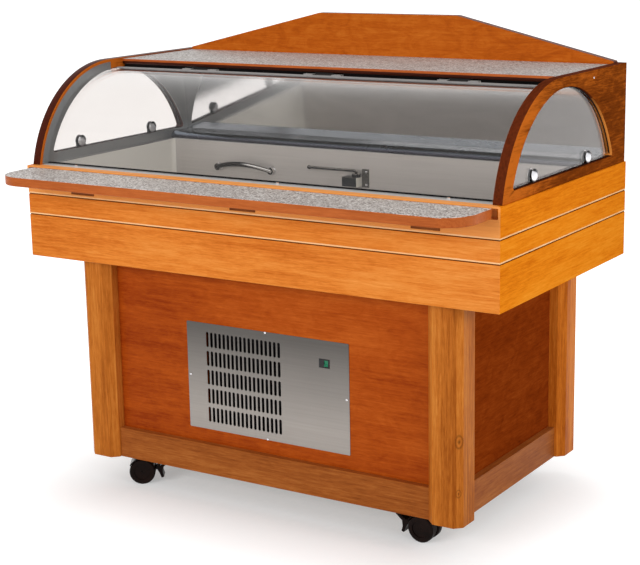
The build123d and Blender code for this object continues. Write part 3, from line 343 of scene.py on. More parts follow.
def wood(name, axis, dark, middle, light, seed=0.0, figure=0.8, mottle=0.1, roughness=0.34, edge=None,
         edge_axis=None, strips=0.0, fades=(), knots=(), gloss=satin, painted_reveal_light=None, top=None):
    """Lacquered wood, where asked for with glued strips, fades in tone, knots, a paler top that is painted
    light, or a darker edge whose part behind a window is paler, a painted highlight."""
    recipe = Recipe(name, roughness)
    tone, streak, pores = grain_tone(recipe, axis, seed, figure, mottle)
    for fade_axis, start, end, amount in fades:
        tone = recipe.math("ADD", tone, recipe.span(recipe.place(fade_axis), start, end, 0.0, amount))
    if strips:
        split = recipe.add("SeparateXYZ", {"Vector": recipe.stretched((strips,) * 3, (0.37, 0.61, 0.0))})
        cells = [recipe.math("FLOOR", split.outputs[place]) for place in range(2)]
        cell = recipe.add("CombineXYZ", {0: cells[0], 1: cells[1]}).outputs[0]
        lot = recipe.add("TexWhiteNoise", {"Vector": cell}).outputs["Value"]
        tone = recipe.math("ADD", tone, recipe.span(lot, 0.0, 1.0, -0.07, 0.07))
    colour = recipe.ramp(tone, ((0.36, linear(*dark)), (0.5, linear(*middle)), (0.64, linear(*light))))
    for centre, size in knots:
        colour = recipe.mix(knot_share(recipe, centre, size), colour, linear(*[0.5 * c for c in dark]))
    # A paler top: painted light
    if top:
        level, pale = top
        above = recipe.span(recipe.place(2), level, level + painted_light_blend, 0.0, 0.55)
        colour = recipe.mix(above, colour, linear(*pale))
    if edge:
        rim = recipe.ramp(streak, ((0.35, linear(*[0.75 * c for c in edge])), (0.65, linear(*edge))))
        # A paler reveal behind the window: painted highlight
        if painted_reveal_light:
            behind = recipe.span(recipe.place(1), *painted_reveal_span)
            cut = recipe.math("MULTIPLY", recipe.facing(1, edge_facing), behind)
            rim = recipe.mix(cut, rim, linear(*painted_reveal_light))
        colour = recipe.mix(recipe.facing(edge_axis, edge_facing), rim, colour)
    recipe.set(Base_Color=colour, Coat_Weight=0.02 if gloss > matt else 0.0, Coat_Roughness=0.2)
    recipe.set(Specular_IOR_Level=gloss, IOR=satin_ior if gloss > matt else matt_ior)
    recipe.set(Roughness=recipe.span(pores, 0.3, 0.7, roughness - 0.06, roughness + 0.08))
    recipe.bump(recipe.math("ADD", pores, streak), 0.0002, 0.35)
    return recipe.material


def laminate_board(name, axis, edge_dark, edge_light, seed, shade, shadow=None):
    """Board with a speckled laminate on top and wooden edges, with painted shade on the edges below a level
    where one is given.
    """
    recipe = Recipe(name, 0.4)
    tone, _, _ = grain_tone(recipe, axis, seed, 0.6, 0.1)
    timber = recipe.ramp(tone, ((0.38, linear(*edge_dark)), (0.62, linear(*edge_light))))
    # Painted shade on the edges below the level
    if shadow:
        level, colour = shadow
        above = recipe.span(recipe.place(2), level - shadow_blend, level + shadow_blend)
        timber = recipe.mix(above, linear(*colour), timber)
    chips = recipe.add("TexVoronoi", {"Vector": recipe.coordinates["Object"], "Scale": 275.0})
    lot = recipe.add("SeparateXYZ", {"Vector": chips.outputs["Color"]}).outputs[0]
    speckle = recipe.ramp(lot, [(stop, linear(*[shade * c for c in chip])) for stop, chip in chip_tones])
    cloud = recipe.noise(recipe.coordinates["Object"], 9.0, 3.0)
    haze = linear(*[shade * c for c in (150, 140, 136)])
    speckle = recipe.mix(recipe.span(cloud, 0.35, 0.65, 0.0, 0.22), speckle, haze)
    top = recipe.upward(0.72)
    recipe.set(Base_Color=recipe.mix(top, timber, speckle), Specular_IOR_Level=0.12)
    recipe.bump(recipe.math("MULTIPLY", lot, 0.6), 0.00012, 0.3)
    return recipe.material


def brushed(name, axis, tint, roughness=0.3, metallic=1.0, painted_shade=None, ends=None):
    """Brushed metal with fine lines along an axis and soft marks, and where asked for a darker fade that is
    painted shade and paler end faces that are painted light.
    """
    recipe = Recipe(name, roughness, metallic)
    scale = [260.0, 260.0, 260.0]
    scale[axis] = 3.0
    lines = recipe.noise(recipe.stretched(scale), detail=3.0, roughness=0.7)
    marks = recipe.noise(recipe.coordinates["Object"], 6.0, 4.0, 0.6)
    colour = recipe.ramp(lines, ((0.3, linear(*[0.95 * c for c in tint])), (0.7, linear(*tint))))
    # Painted shade: darker along an axis
    if painted_shade:
        fade_axis, start, end, amount = painted_shade
        shade = recipe.span(recipe.place(fade_axis), start, end, 1.0, amount)
        grey = recipe.add("CombineColor", {0: shade, 1: shade, 2: shade}).outputs[0]
        colour = recipe.mix(1.0, colour, grey, "MULTIPLY")
    # Painted light: paler, less metallic end faces
    if ends:
        end = recipe.facing(0, 0.7)
        colour = recipe.mix(end, colour, linear(*ends))
        recipe.set(Metallic=recipe.span(end, 0.0, 1.0, metallic, 0.0))
    recipe.set(Base_Color=colour)
    spread = recipe.math("ADD", recipe.math("MULTIPLY", lines, 0.06), recipe.math("MULTIPLY", marks, 0.14))
    recipe.set(Roughness=recipe.math("ADD", spread, roughness - 0.1))
    recipe.bump(lines, 0.00005, 0.25)
    return recipe.material


def polished(name, tint, roughness=0.06, painted_reflection=None, metallic=1.0):
    """Polished metal with faint wipe marks in its gloss, and where asked for with a painted reflection: tones
    by the slope of each face.
    """
    recipe = Recipe(name, roughness, metallic)
    wipes = recipe.noise(recipe.stretched((5.0, 9.0, 14.0)), detail=4.0, roughness=0.6, distortion=0.8)
    colour = recipe.ramp(wipes, ((0.3, linear(*[0.93 * c for c in tint])), (0.7, linear(*tint))))
    # Painted reflection: each face gets a tone by its slope against a direction
    if painted_reflection:
        direction, stops = painted_reflection
        vectors = {0: recipe.coordinates["Normal"], 1: direction}
        slope = recipe.add("VectorMath", vectors, operation="DOT_PRODUCT").outputs["Value"]
        share = recipe.span(slope, -1.0, 1.0)
        tones = recipe.ramp(share, [(stop, linear(*tone)) for stop, tone in stops])
        colour = recipe.mix(1.0, colour, tones, "MULTIPLY")
    recipe.set(Base_Color=colour, Roughness=recipe.span(wipes, 0.3, 0.7, roughness * 0.7, roughness * 1.3))
    return recipe.material


def moulded(name, dark, light, roughness=0.4, grain=900.0, depth=0.00012, gloss=0.3):
    """Moulded plastic, rubber or paint with a fine skin texture and uneven gloss."""
    recipe = Recipe(name, roughness)
    skin = recipe.noise(recipe.coordinates["Object"], grain, 2.0)
    patch = recipe.noise(recipe.coordinates["Object"], 24.0, 4.0, 0.6)
    recipe.set(Base_Color=recipe.ramp(patch, ((0.35, linear(*dark)), (0.65, linear(*light)))))
    recipe.set(Roughness=recipe.span(patch, 0.3, 0.7, roughness - 0.07, roughness + 0.07))
    recipe.set(Specular_IOR_Level=gloss)
    recipe.bump(skin, depth, 0.3)
    return recipe.material


def glass(name, tint):
    """Clear plate: see-through, glossier towards grazing views, with faint wipe marks."""
    recipe = Recipe(name)
    tree = recipe.tree
    tree.nodes.remove(recipe.shader)
    slant = recipe.add("LayerWeight", {"Blend": 0.5}).outputs["Facing"]
    wipes = recipe.noise(recipe.stretched((2.0, 6.0, 9.0)), detail=4.0, roughness=0.6, distortion=0.6)
    gloss = recipe.math("MULTIPLY", recipe.math("POWER", slant, 5.0), 0.9)
    gloss = recipe.math("ADD", gloss, recipe.span(wipes, 0.3, 0.7, 0.016, 0.028))
    sheen = recipe.add("BsdfGlossy", {"Color": (1, 1, 1, 1), "Roughness": 0.0})
    clear = recipe.add("BsdfTransparent", {"Color": linear(*tint)})
    pane = recipe.add("MixShader", {0: gloss, 1: clear.outputs[0], 2: sheen.outputs[0]})
    tree.links.new(pane.outputs[0], tree.nodes["Material Output"].inputs["Surface"])
    return recipe.material


def wear(material, *names):
    """Gives a material to CAD nodes."""
    for name in names:
        slots = nodes[name].data.materials
        slots.clear()
        slots.append(material)


def after_weld(name, title, kind):
    """Adds a modifier to a CAD node behind one that joins its split vertices."""
    modifiers = nodes[name].modifiers
    modifiers.new("weld", "WELD").merge_threshold = weld_reach
    return modifiers.new(title, kind)


def soften(*names):
    """Rounds the sharp arrises of CAD boards in the looks alone."""
    for name in names:
        round_off = after_weld(name, "arris", "BEVEL")
        round_off.width = arris_width
        round_off.segments = bevel_steps
        round_off.limit_method = "ANGLE"
        round_off.angle_limit = corner_angle
        round_off.harden_normals = True


def fatten(name, width):
    """Draws a slim CAD rod a little fuller in the looks alone."""
    swell = after_weld(name, "swell", "DISPLACE")
    swell.strength = width
    swell.mid_level = 0.0


def dress_woodwork():
    """Materials of the aprons, the stand and the wooden hood."""
    # Front apron: tones greyer than the side apron's are a painted sheen, the darkening towards the left is
    # painted shade, and the paler strip above the upper groove is painted light under the tray
    wear(wood("apron_front_wood", ALONG_X, (194, 96, 24), (226, 132, 50), (242, 160, 78), seed=1.3,
              fades=((0, -0.2, -0.74, -0.06),), top=(0.852, (255, 176, 100))), "front_apron", "rear_apron")
    wear(wood("apron_side_wood", ALONG_Y, (206, 102, 10), (236, 136, 26), (248, 158, 46), seed=4.1,
              fades=((2, 0.82, 0.93, -0.04),), gloss=matt), "left_apron", "right_apron")
    post = ((150, 76, 18), (192, 110, 38), (216, 140, 62))
    # Paler tones for the rear right leg: painted light
    painted_light_post = ((166, 80, 16), (212, 118, 34), (236, 150, 60))
    knots = (((0.6005, -0.2485, 0.3105), 0.012), ((0.5995, -0.2495, 0.173), 0.0075))
    legs = (("front_left", post, ()), ("front_right", post, knots), ("rear_left", post, ()),
            ("rear_right", painted_light_post, ()))
    for place, (name, tones, marks) in enumerate(legs):
        wear(wood(f"leg_wood_{name}", ALONG_Z, *tones, seed=2.0 + 3.3 * place, figure=1.2, strips=30.0,
                  knots=marks), f"leg_{name}")
    rail = ((124, 60, 20), (160, 88, 36), (186, 114, 54))
    wear(wood("rail_front_wood", ALONG_X, *rail, seed=7.7), "front_rail", "rear_rail")
    wear(wood("rail_side_wood", ALONG_Y, *rail, seed=8.9), "left_rail", "right_rail")
    # Front panel: darker towards the left, painted shade
    wear(wood("front_panel_wood", ALONG_X, (138, 50, 8), (172, 76, 18), (196, 98, 32), seed=5.5, mottle=0.22,
              roughness=0.42, fades=((0, 0.0, -0.5, -0.07),)), "front_panel", "rear_panel")
    # Side panels: a darker copy of the front panel's wood, painted shade under the apron's overhang
    wear(wood("side_panel_wood_painted_shade", ALONG_Y, (104, 36, 6), (134, 54, 12), (154, 70, 20), seed=7.1, mottle=0.3,
              roughness=0.42, gloss=matt), "left_panel", "right_panel")
    hood = ((84, 36, 8), (124, 58, 14), (196, 102, 30))
    # Cheeks: the darker edges are painted shade, darkest on the left cheek, and the paler reveal behind the
    # right window is a painted highlight
    wear(wood("right_cheek_wood", ALONG_Y, *hood, seed=3.9, mottle=0.22, edge=(104, 44, 20), edge_axis=0,
              gloss=matt, painted_reveal_light=(226, 142, 64), fades=((1, 0.02, -0.2, 0.14),)), "right_cheek")
    wear(wood("left_cheek_wood", ALONG_Y, *hood, seed=6.1, mottle=0.22, edge=(78, 30, 16), edge_axis=0,
              fades=((1, 0.2, 0.05, 0.16),)), "left_cheek")
    crown = ((156, 68, 12), (186, 90, 20), (206, 114, 36))
    wear(wood("crown_wood", ALONG_X, *crown, seed=6.4, mottle=0.34, edge=(104, 48, 26), edge_axis=1),
         "crown_board")
    ply = ((150, 112, 70), (184, 148, 102), (206, 174, 130))
    wear(wood("board_wood", ALONG_X, *ply, seed=9.2, roughness=0.6, mottle=0.25), "base_board", "deck_board")
    wear(laminate_board("tray_laminate", ALONG_X, (156, 74, 28), (196, 106, 50), 2.9, 0.98), "tray_flap")
    # Top shelf: darker laminate than the tray's and dark edges below a level, both painted shade
    wear(laminate_board("shelf_laminate", ALONG_X, (160, 74, 30), (206, 108, 50), 4.4, 0.9,
                        shadow=(1.1895, (58, 22, 10))), "top_shelf")


def dress_metal():
    """Materials of the steel, chrome, copper and aluminium parts."""
    # The well's end walls are pale and less metallic: painted light
    wear(brushed("well_steel", ALONG_X, (216, 211, 207), 0.42, metallic=0.35, ends=(250, 248, 240)),
         "well_tank")
    # The rear ledge wears a painted reflection
    wear(polished("ledge_steel_painted_reflection", (228, 232, 238), 0.24, painted_reflection=ledge_painted_reflection), "rear_ledge")
    wear(brushed("liner_steel", ALONG_Z, (170, 172, 173), 0.34, metallic=0.7), "left_liner", "right_liner")
    wear(polished("mirror_steel", (238, 238, 239), 0.07), "back_panel")
    # The grille plate darkens towards its top: painted shade under the apron
    wear(brushed("plate_steel", ALONG_X, (158, 152, 146), 0.42, metallic=0.7, painted_shade=(2, 0.26, 0.5, 0.3)),
         "grille_plate")
    wear(brushed("rail_steel", ALONG_X, (150, 148, 147), 0.7, metallic=0.1), "glass_rail")
    wear(brushed("dark_hinge_steel", ALONG_X, (30, 27, 26), 0.6, metallic=0.2), "glass_hinges")
    # Clamps, handle and lever wear painted reflections; the latch wears a painted highlight and painted shade
    wear(polished("chrome", (240, 238, 236), 0.07, painted_reflection=chrome_painted_reflection), "window_clamps")
    wear(polished("bow_chrome_painted_reflection", (250, 248, 246), 0.1, painted_reflection=bow_painted_reflection), "bow_handle")
    wear(polished("lever_chrome_painted_reflection", (250, 248, 246), 0.1, painted_reflection=lever_painted_reflection), "latch_lever")
    wear(polished("latch_chrome_painted_light", (250, 248, 242), 0.3, painted_reflection=latch_painted_light_and_shade, metallic=0.2), "latch_body")
    wear(brushed("zinc_steel", ALONG_Z, (172, 174, 178), 0.42), "castor_plates")
    wear(moulded("brown_paint", (120, 62, 26), (138, 76, 34), 0.5, gloss=0.1), "flap_hinges_fixed",
         "flap_hinges_moving")
    wear(brushed("fin_aluminium", ALONG_Z, (30, 30, 32), 0.6), "condenser")
    wear(polished("copper", (196, 116, 78), 0.28), "refrigerant_lines")


def dress_the_rest():
    """Materials of glass, plastic, rubber, foam and paint."""
    wear(glass("curved_glass", (249, 248, 247)), "front_glass")
    wear(glass("window_glass", (245, 243, 242)), "left_window", "right_window")
    wear(moulded("lamp_paint", (222, 222, 218), (234, 234, 230), 0.35), "lamp_housing")
    wear(moulded("tube_glass", (236, 236, 232), (246, 246, 242), 0.2), "lamp_tube")
    wear(moulded("foam", (206, 190, 140), (226, 212, 168), 0.9, 300.0, 0.0006), "well_insulation")
    wear(moulded("black_plastic", (16, 16, 18), (26, 26, 28), 0.36), "switch_bezel", "fan")
    wear(moulded("rocker_green", (8, 92, 62), (14, 118, 82), 0.25), "switch_rocker")
    wear(moulded("black_steel", (18, 18, 20), (30, 30, 32), 0.34), "compressor")
    wear(moulded("castor_plastic", (16, 9, 8), (26, 16, 13), 0.3, gloss=0.08),
         *[name for name in nodes if name.startswith(("castor_hood", "castor_pedal"))])
    wear(moulded("wheel_plastic", (18, 11, 9), (30, 19, 16), 0.42, gloss=0.08),
         *[name for name in nodes if name.startswith("castor_wheels")])


def revolve(shape, place, axis, profile, steps=28):
    """Adds a turned form to a bmesh: pairs of radius and height along an axis from a place."""
    axis = Vector(axis).normalized()
    side = axis.orthogonal().normalized()
    other = axis.cross(side)
    rings = []
    for radius, height in profile:
        centre = Vector(place) + axis * height
        turns = [2 * math.pi * step / steps for step in range(steps if radius else 1)]
        spokes = [math.cos(turn) * side + math.sin(turn) * other for turn in turns]
        rings.append([shape.verts.new(centre + radius * spoke) for spoke in spokes])
    for lower, upper in zip(rings, rings[1:]):
        for step in range(steps):
            corners = (lower[step % len(lower)], lower[(step + 1) % len(lower)],
                       upper[(step + 1) % len(upper)], upper[step % len(upper)])
            shape.faces.new(list(dict.fromkeys(corners)))


def prism(shape, axis, low, high, outline, bevel=0.0):
    """Adds an outline drawn in the plane across an axis, drawn out between two places, with rounded edges."""
    others = [place for place in range(3) if place != axis]
    ends = []
    for level in (low, high):
        corners = []
        for point in outline:
            where = Vector()
            where[axis] = level
            where[others[0]], where[others[1]] = point
            corners.append(shape.verts.new(where))
        ends.append(corners)
    faces = [shape.faces.new(ends[0]), shape.faces.new(ends[1][::-1])]
    for step in range(len(outline)):
        after = (step + 1) % len(outline)
        faces.append(shape.faces.new((ends[0][after], ends[0][step], ends[1][step], ends[1][after])))
    if bevel:
        edges = list({edge for face in faces[:2] for edge in face.edges})
        sharp = [edge for face in faces[2:] for edge in face.edges
                 if edge not in edges and edge.calc_face_angle(0.0) > corner_angle]
        bmesh.ops.bevel(shape, geom=edges + list(set(sharp)), offset=bevel, segments=bevel_steps,
                        affect="EDGES", profile=0.5, clamp_overlap=True)


def slab(shape, low, high, bevel):
    """Adds a block with rounded edges between two corners."""
    outline = ((low[1], low[2]), (high[1], low[2]), (high[1], high[2]), (low[1], high[2]))
    prism(shape, 0, low[0], high[0], outline, bevel)


def finished(name, shape):
    """Mesh of a bmesh, smooth but for its creases."""
    bmesh.ops.recalc_face_normals(shape, faces=shape.faces)
    mesh = bpy.data.meshes.new(name)
    shape.to_mesh(mesh)
    shape.free()
    mesh.shade_smooth()
    mesh.set_sharp_from_angle(angle=crease_angle)
    return mesh


def tubing(name, loops, radius):
    """Curve with a round section along each closed loop."""
    curve = bpy.data.curves.new(name, "CURVE")
    curve.dimensions = "3D"
    curve.bevel_depth = radius
    curve.bevel_resolution = 3
    for loop in loops:
        spline = curve.splines.new("POLY")
        spline.points.add(len(loop) - 1)
        for point, place in zip(spline.points, loop):
            point.co = (*place, 1.0)
        spline.use_cyclic_u = True
    return curve


def fit(name, data, material, body="cabinet", stands_for=()):
    """Puts a piece on its body, with its material and the CAD node that it stands for."""
    thing = bpy.data.objects.new(name, data)
    bpy.context.scene.collection.objects.link(thing)
    data.materials.append(material)
    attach(thing, body)
    if stands_for:
        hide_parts(*stands_for)


def cross_screw(shape, place, axis, radius):
    """Adds a domed screw head with a cross recess."""
    axis = Vector(axis).normalized()
    side = axis.orthogonal().normalized()
    other = axis.cross(side)
    steps = 16
    base = Vector(place)
    revolve(shape, base, axis, ((radius * 1.02, 0.0), (radius, 0.16 * radius), (0.86 * radius, 0.4 * radius),
                                (0.66 * radius, 0.54 * radius)), steps)
    ring = list(shape.verts)[-steps:]
    arm, half = 0.5 * radius, 0.13 * radius
    plus = ((arm, -half), (arm, half), (half, half), (half, arm), (-half, arm), (-half, half), (-arm, half),
            (-arm, -half), (-half, -half), (-half, -arm), (half, -arm), (half, -half))
    levels = []
    for height in (0.6 * radius, 0.2 * radius):
        levels.append([shape.verts.new(base + axis * height + side * a + other * b) for a, b in plus])
    rim = [shape.edges.get((ring[s], ring[(s + 1) % steps])) for s in range(steps)]
    mouth = [shape.edges.new((levels[0][s], levels[0][(s + 1) % len(plus)])) for s in range(len(plus))]
    bmesh.ops.triangle_fill(shape, edges=rim + mouth, use_beauty=True)
    for step in range(len(plus)):
        after = (step + 1) % len(plus)
        shape.faces.new((levels[0][step], levels[0][after], levels[1][after], levels[1][step]))
    shape.faces.new(levels[1])


def hex_bolt(shape, place, axis, radius):
    """Adds a washer and a hexagon head with a turned top."""
    revolve(shape, place, axis, ((0.0, 0.0), (1.5 * radius, 0.0), (1.5 * radius, 0.3 * radius),
                                 (1.42 * radius, 0.36 * radius), (0.0, 0.36 * radius)))
    revolve(shape, Vector(place) + Vector(axis) * 0.36 * radius, axis,
            ((0.0, 0.0), (radius, 0.0), (radius, 0.6 * radius), (0.86 * radius, 0.72 * radius),
             (0.0, 0.72 * radius)), 6)


def arch(radius, foot, shoulder):
    """Outline of a clamp seen from the side: upright sides below a half circle."""
    steps = 20
    turns = [math.pi * step / steps for step in range(steps + 1)]
    round_top = [(-radius * math.cos(turn), shoulder + radius * math.sin(turn)) for turn in turns]
    return [(-radius, foot), *round_top, (radius, foot)]


def clamp_pieces(clip, rubber):
    """Window clamps: a polished dome on an arched black pad on each side of the pane."""
    clips, pads = bmesh.new(), bmesh.new()
    outline = arch(clamp_pad_radius, clamp_foot, clamp_shoulder)
    for side in (-1, 1):
        for middle in clamp_middles:
            for out in (-1, 1):
                near, far = [side * pane_x + out * reach for reach in clamp_pad_reach]
                prism(pads, 0, *sorted((near, far)), [(middle + a, b) for a, b in outline], bevel=0.0007)
                revolve(clips, (far - out * clamp_dome_sink, middle, clamp_dome_middle), (out, 0, 0),
                        clamp_dome, clamp_dome_steps)
    fit("window_clamp_pads", finished("window_clamp_pads", pads), rubber,
        stands_for=("window_clamps",))
    fit("window_clamp_clips", finished("window_clamp_clips", clips), clip)


def window_seals(rubber):
    """Black bead around each window opening, on both faces of the pane."""
    radius = window_radius - window_seal_inset
    base = window_sill + window_seal_inset
    half = math.sqrt(radius ** 2 - (base - window_z) ** 2)
    reach = math.atan2(base - window_z, half)
    steps = 48
    turns = [reach + (math.pi - 2 * reach) * step / steps for step in range(steps + 1)]
    rim = [(window_y + radius * math.cos(turn), window_z + radius * math.sin(turn)) for turn in turns]
    loops = [[(side * (pane_x + out * window_seal_reach), a, b) for a, b in rim]
             for side in (-1, 1) for out in (-1, 1)]
    fit("window_seals", tubing("window_seals", loops, window_seal_radius), rubber)


def glass_foot(chrome, steel, rubber):
    """Steel strip on the apron before the curved glass, small chrome pads put where the rim shows glints as a
    stand-in for those reflections, and the rubber under the glass.
    """
    strip, pads, seal = bmesh.new(), bmesh.new(), bmesh.new()
    slab(strip, *strip_span, bevel=0.0004)
    for place in pad_places:
        slab(pads, (place - pad_half, pad_depth[0], pad_rise[0]),
             (place + pad_half, pad_depth[1], pad_rise[1]), bevel=0.001)
    slab(seal, *seal_span, bevel=0.0008)
    fit("glass_foot_strip", finished("glass_foot_strip", strip), steel)
    fit("glass_foot_glint_pads", finished("glass_foot_glint_pads", pads), chrome)
    fit("glass_foot_seal", finished("glass_foot_seal", seal), rubber, "display_glass")


def groove_lines(bead, groove_shade):
    """Lip above each groove of the apron in pale wood, a painted highlight, and a dark insert inside it,
    painted shade, on all four sides.
    """
    beads, shade_lines = bmesh.new(), bmesh.new()
    for drop in groove_drops:
        top = apron_top - drop
        low, high = top - groove_height + shade_gap, top - shade_gap
        for face, inward in ((apron_front, 1), (apron_rear, -1)):
            lip = [(face + inward * (a - bead_proud), top + b) for a, b in bead_lip]
            prism(beads, 0, -apron_side, apron_side, lip)
            near, far = sorted(face + inward * reach for reach in shade_reach)
            end = apron_side - shade_reach[0]
            slab(shade_lines, (-end, near, low), (end, far, high), bevel=0.0002)
        for side in (-1, 1):
            lip = [(side * (apron_side + bead_proud - a), top + b) for a, b in bead_lip]
            prism(beads, 1, apron_front, apron_rear, lip)
            near, far = sorted(side * (apron_side - reach) for reach in shade_reach)
            slab(shade_lines, (near, apron_front + shade_inset, low),
                 (far, apron_rear - shade_inset, high), bevel=0.0002)
    fit("groove_beads", finished("groove_beads", beads), bead)
    fit("groove_shadow_lines", finished("groove_shadow_lines", shade_lines), groove_shade)


def hood_trim(steel, rubber):
    """Rubber behind the glass rail, a black lip before the lamp that is painted shade under the shelf, and a
    steel strip inside each cheek.
    """
    gasket = bmesh.new()
    for start, end in gasket_spans:
        slab(gasket, (start, gasket_depth[0], gasket_foot), (end, gasket_depth[1], shelf_under), bevel=0.0008)
    # Black lip: painted shade under the shelf's front
    slab(gasket, (-shade_lip_half, shade_lip_depth[0], shade_lip_foot), (shade_lip_half, shade_lip_depth[1], shelf_under), bevel=0.0008)
    fit("crest_gasket_and_shade_lip", finished("crest_gasket_and_shade_lip", gasket), rubber)
    turns = [math.pi / 2 + strip_sweep * step / strip_steps for step in range(strip_steps + 1)]
    inner, outer = [[(arc_y + radius * math.cos(turn), arc_z + radius * math.sin(turn)) for turn in turns]
                    for radius in (strip_inner, strip_outer)]
    strips = bmesh.new()
    for side in (-1, 1):
        ends = sorted((side * cheek_inner, side * (cheek_inner - strip_thickness)))
        prism(strips, 0, *ends, inner + outer[::-1])
    fit("cheek_strips", finished("cheek_strips", strips), steel)


def well_trim(chrome, rubber):
    """Bead round the well's mouth, collars on the handle's feet, the latch's screws, and dark sheets on the
    latch's front and left faces that are painted shade.
    """
    rim = [(a, b, well_bead_z) for a, b in well_mouth]
    fit("well_mouth_bead", tubing("well_mouth_bead", [rim], well_bead_radius), chrome)
    fastenings = bmesh.new()
    for side in (-1, 1):
        revolve(fastenings, (handle_x + side * handle_reach, well_back, handle_z), (0, -1, 0), handle_collar)
    plate_front = well_back - latch_plate_thickness
    for side in (-1, 1):
        place = (latch_plate_x, plate_front, latch_plate_z + side * latch_screw_rise)
        cross_screw(fastenings, place, (0, -1, 0), latch_screw_radius)
    fit("well_fastenings", finished("well_fastenings", fastenings), chrome)
    # Dark sheets on the latch's faces: painted shade
    faces = bmesh.new()
    left, front, foot = latch_low
    right, _, head = latch_high
    inset = latch_front_inset
    slab(faces, (left + inset, front - latch_face_proud, foot + inset),
         (right - inset, front + latch_face_sunk, head - inset), bevel=0.0004)
    inset, rise = latch_side_inset
    slab(faces, (left - latch_face_proud, front + inset, foot + rise),
         (left + latch_face_sunk, plate_front, head - rise), bevel=0.0004)
    fit("latch_painted_shade", finished("latch_painted_shade", faces), rubber)


def panel_screws(chrome):
    """Screws at the middle of each edge of the grille plate, and a small one in each cheek."""
    screws = bmesh.new()
    for across, height in plate_screw_places:
        place = (plate_x + across, plate_face, plate_z + height)
        cross_screw(screws, place, (0, -1, 0), plate_screw_radius)
    for side in (-1, 1):
        cross_screw(screws, (side * cheek_face, *cheek_screw), (side, 0, 0), cheek_screw_radius)
    fit("panel_screws", finished("panel_screws", screws), chrome)


def lamp_fittings(paint, metal):
    """End sockets of the lamp, and the metal caps of its tube."""
    sockets, caps = bmesh.new(), bmesh.new()
    for side in (-1, 1):
        slab(sockets, (side * socket_x - socket_half, socket_depth[0], socket_rise[0]),
             (side * socket_x + socket_half, socket_depth[1], socket_rise[1]), bevel=0.0022)
        revolve(caps, (side * tube_end[0], *tube_end[1:]), (-side, 0, 0), tube_cap)
    fit("lamp_sockets", finished("lamp_sockets", sockets), paint)
    fit("tube_caps", finished("tube_caps", caps), metal)


def castor_bolts(metal):
    """Four bolts under each castor plate."""
    bolts = bmesh.new()
    corners = [(across * bolt_reach, along * bolt_reach) for across in (-1, 1) for along in (-1, 1)]
    for stem_x, stem_y in stem_places:
        for across, along in corners:
            hex_bolt(bolts, (stem_x + across, stem_y + along, plate_under), (0, 0, -1), bolt_radius)
    fit("castor_bolts", finished("castor_bolts", bolts), metal)


def add_details():
    """The scene's own pieces, with the materials that only they wear."""
    chrome = polished("bright_chrome", (240, 240, 242), 0.05)
    # Clamp domes: chrome with a painted reflection, dark on top and white below
    clip = polished("clip_chrome_painted_reflection", (250, 250, 252), 0.06, painted_reflection=clip_painted_reflection, metallic=0.6)
    rubber = moulded("black_rubber", (10, 9, 9), (18, 16, 16), 0.6, gloss=0.05)
    zinc = brushed("bolt_zinc", ALONG_Z, (168, 170, 174), 0.4)
    paint = moulded("socket_plastic", (214, 214, 210), (228, 228, 224), 0.4)
    # Pale wood on the groove lips is a painted highlight; the dark wood inside the grooves is painted shade
    bead = wood("groove_bead_painted_highlight", ALONG_X, (244, 178, 112), (252, 200, 142), (255, 220, 174), seed=5.1,
                gloss=matt)
    groove_shade = wood("groove_painted_shade", ALONG_X, (74, 32, 8), (102, 48, 14), (126, 64, 22), seed=2.2, gloss=matt)
    liner = bpy.data.materials["liner_steel"]
    clamp_pieces(clip, rubber)
    window_seals(rubber)
    glass_foot(chrome, liner, rubber)
    groove_lines(bead, groove_shade)
    hood_trim(liner, rubber)
    well_trim(chrome, rubber)
    panel_screws(chrome)
    lamp_fittings(paint, zinc)
    castor_bolts(zinc)


def aim(thing, place, target):
    """Puts a light at a place with its -Z axis towards a target."""
    direction = Vector(target) - Vector(place)
    thing.matrix_world = Matrix.Translation(place) @ direction.to_track_quat("-Z", "Y").to_matrix().to_4x4()


def softbox(name, place, target, size, power):
    """Soft white lamp that no mirror shows."""
    light = bpy.data.lights.new(name, "AREA")
    light.shape = "RECTANGLE"
    light.size, light.size_y = size
    light.energy = power
    lamp = bpy.data.objects.new(name, light)
    lamp.visible_glossy = False
    bpy.context.scene.collection.objects.link(lamp)
    aim(lamp, place, target)


def seen_ray(graph):
    """1 for a ray from the camera, a mirror or glass, and 0 for the light that falls on things."""
    path = graph.add("LightPath").outputs
    seen = graph.math("MAXIMUM", path["Is Camera Ray"], path["Is Glossy Ray"])
    return graph.math("MAXIMUM", seen, path["Is Transmission Ray"])


def flat_sheet(name, corners, material):
    """Flat four-cornered sheet."""
    mesh = bpy.data.meshes.new(name)
    mesh.from_pydata(corners, [], [(0, 1, 2, 3)])
    mesh.materials.append(material)
    sheet = bpy.data.objects.new(name, mesh)
    bpy.context.scene.collection.objects.link(sheet)
    return sheet


def white_world():
    """World that looks white, and lights the part less than it looks."""
    world = bpy.data.worlds.new("studio_world")
    bpy.context.scene.world = world
    world.use_nodes = True
    graph = Graph(world.node_tree)
    graph.tree.nodes.clear()
    dim = graph.add("Background", {"Color": (1, 1, 1, 1), "Strength": ambient})
    white = graph.add("Background", {"Color": (1, 1, 1, 1)})
    blend = graph.add("MixShader", {0: seen_ray(graph), 1: dim.outputs[0], 2: white.outputs[0]})
    graph.add("OutputWorld", {"Surface": blend.outputs[0]})


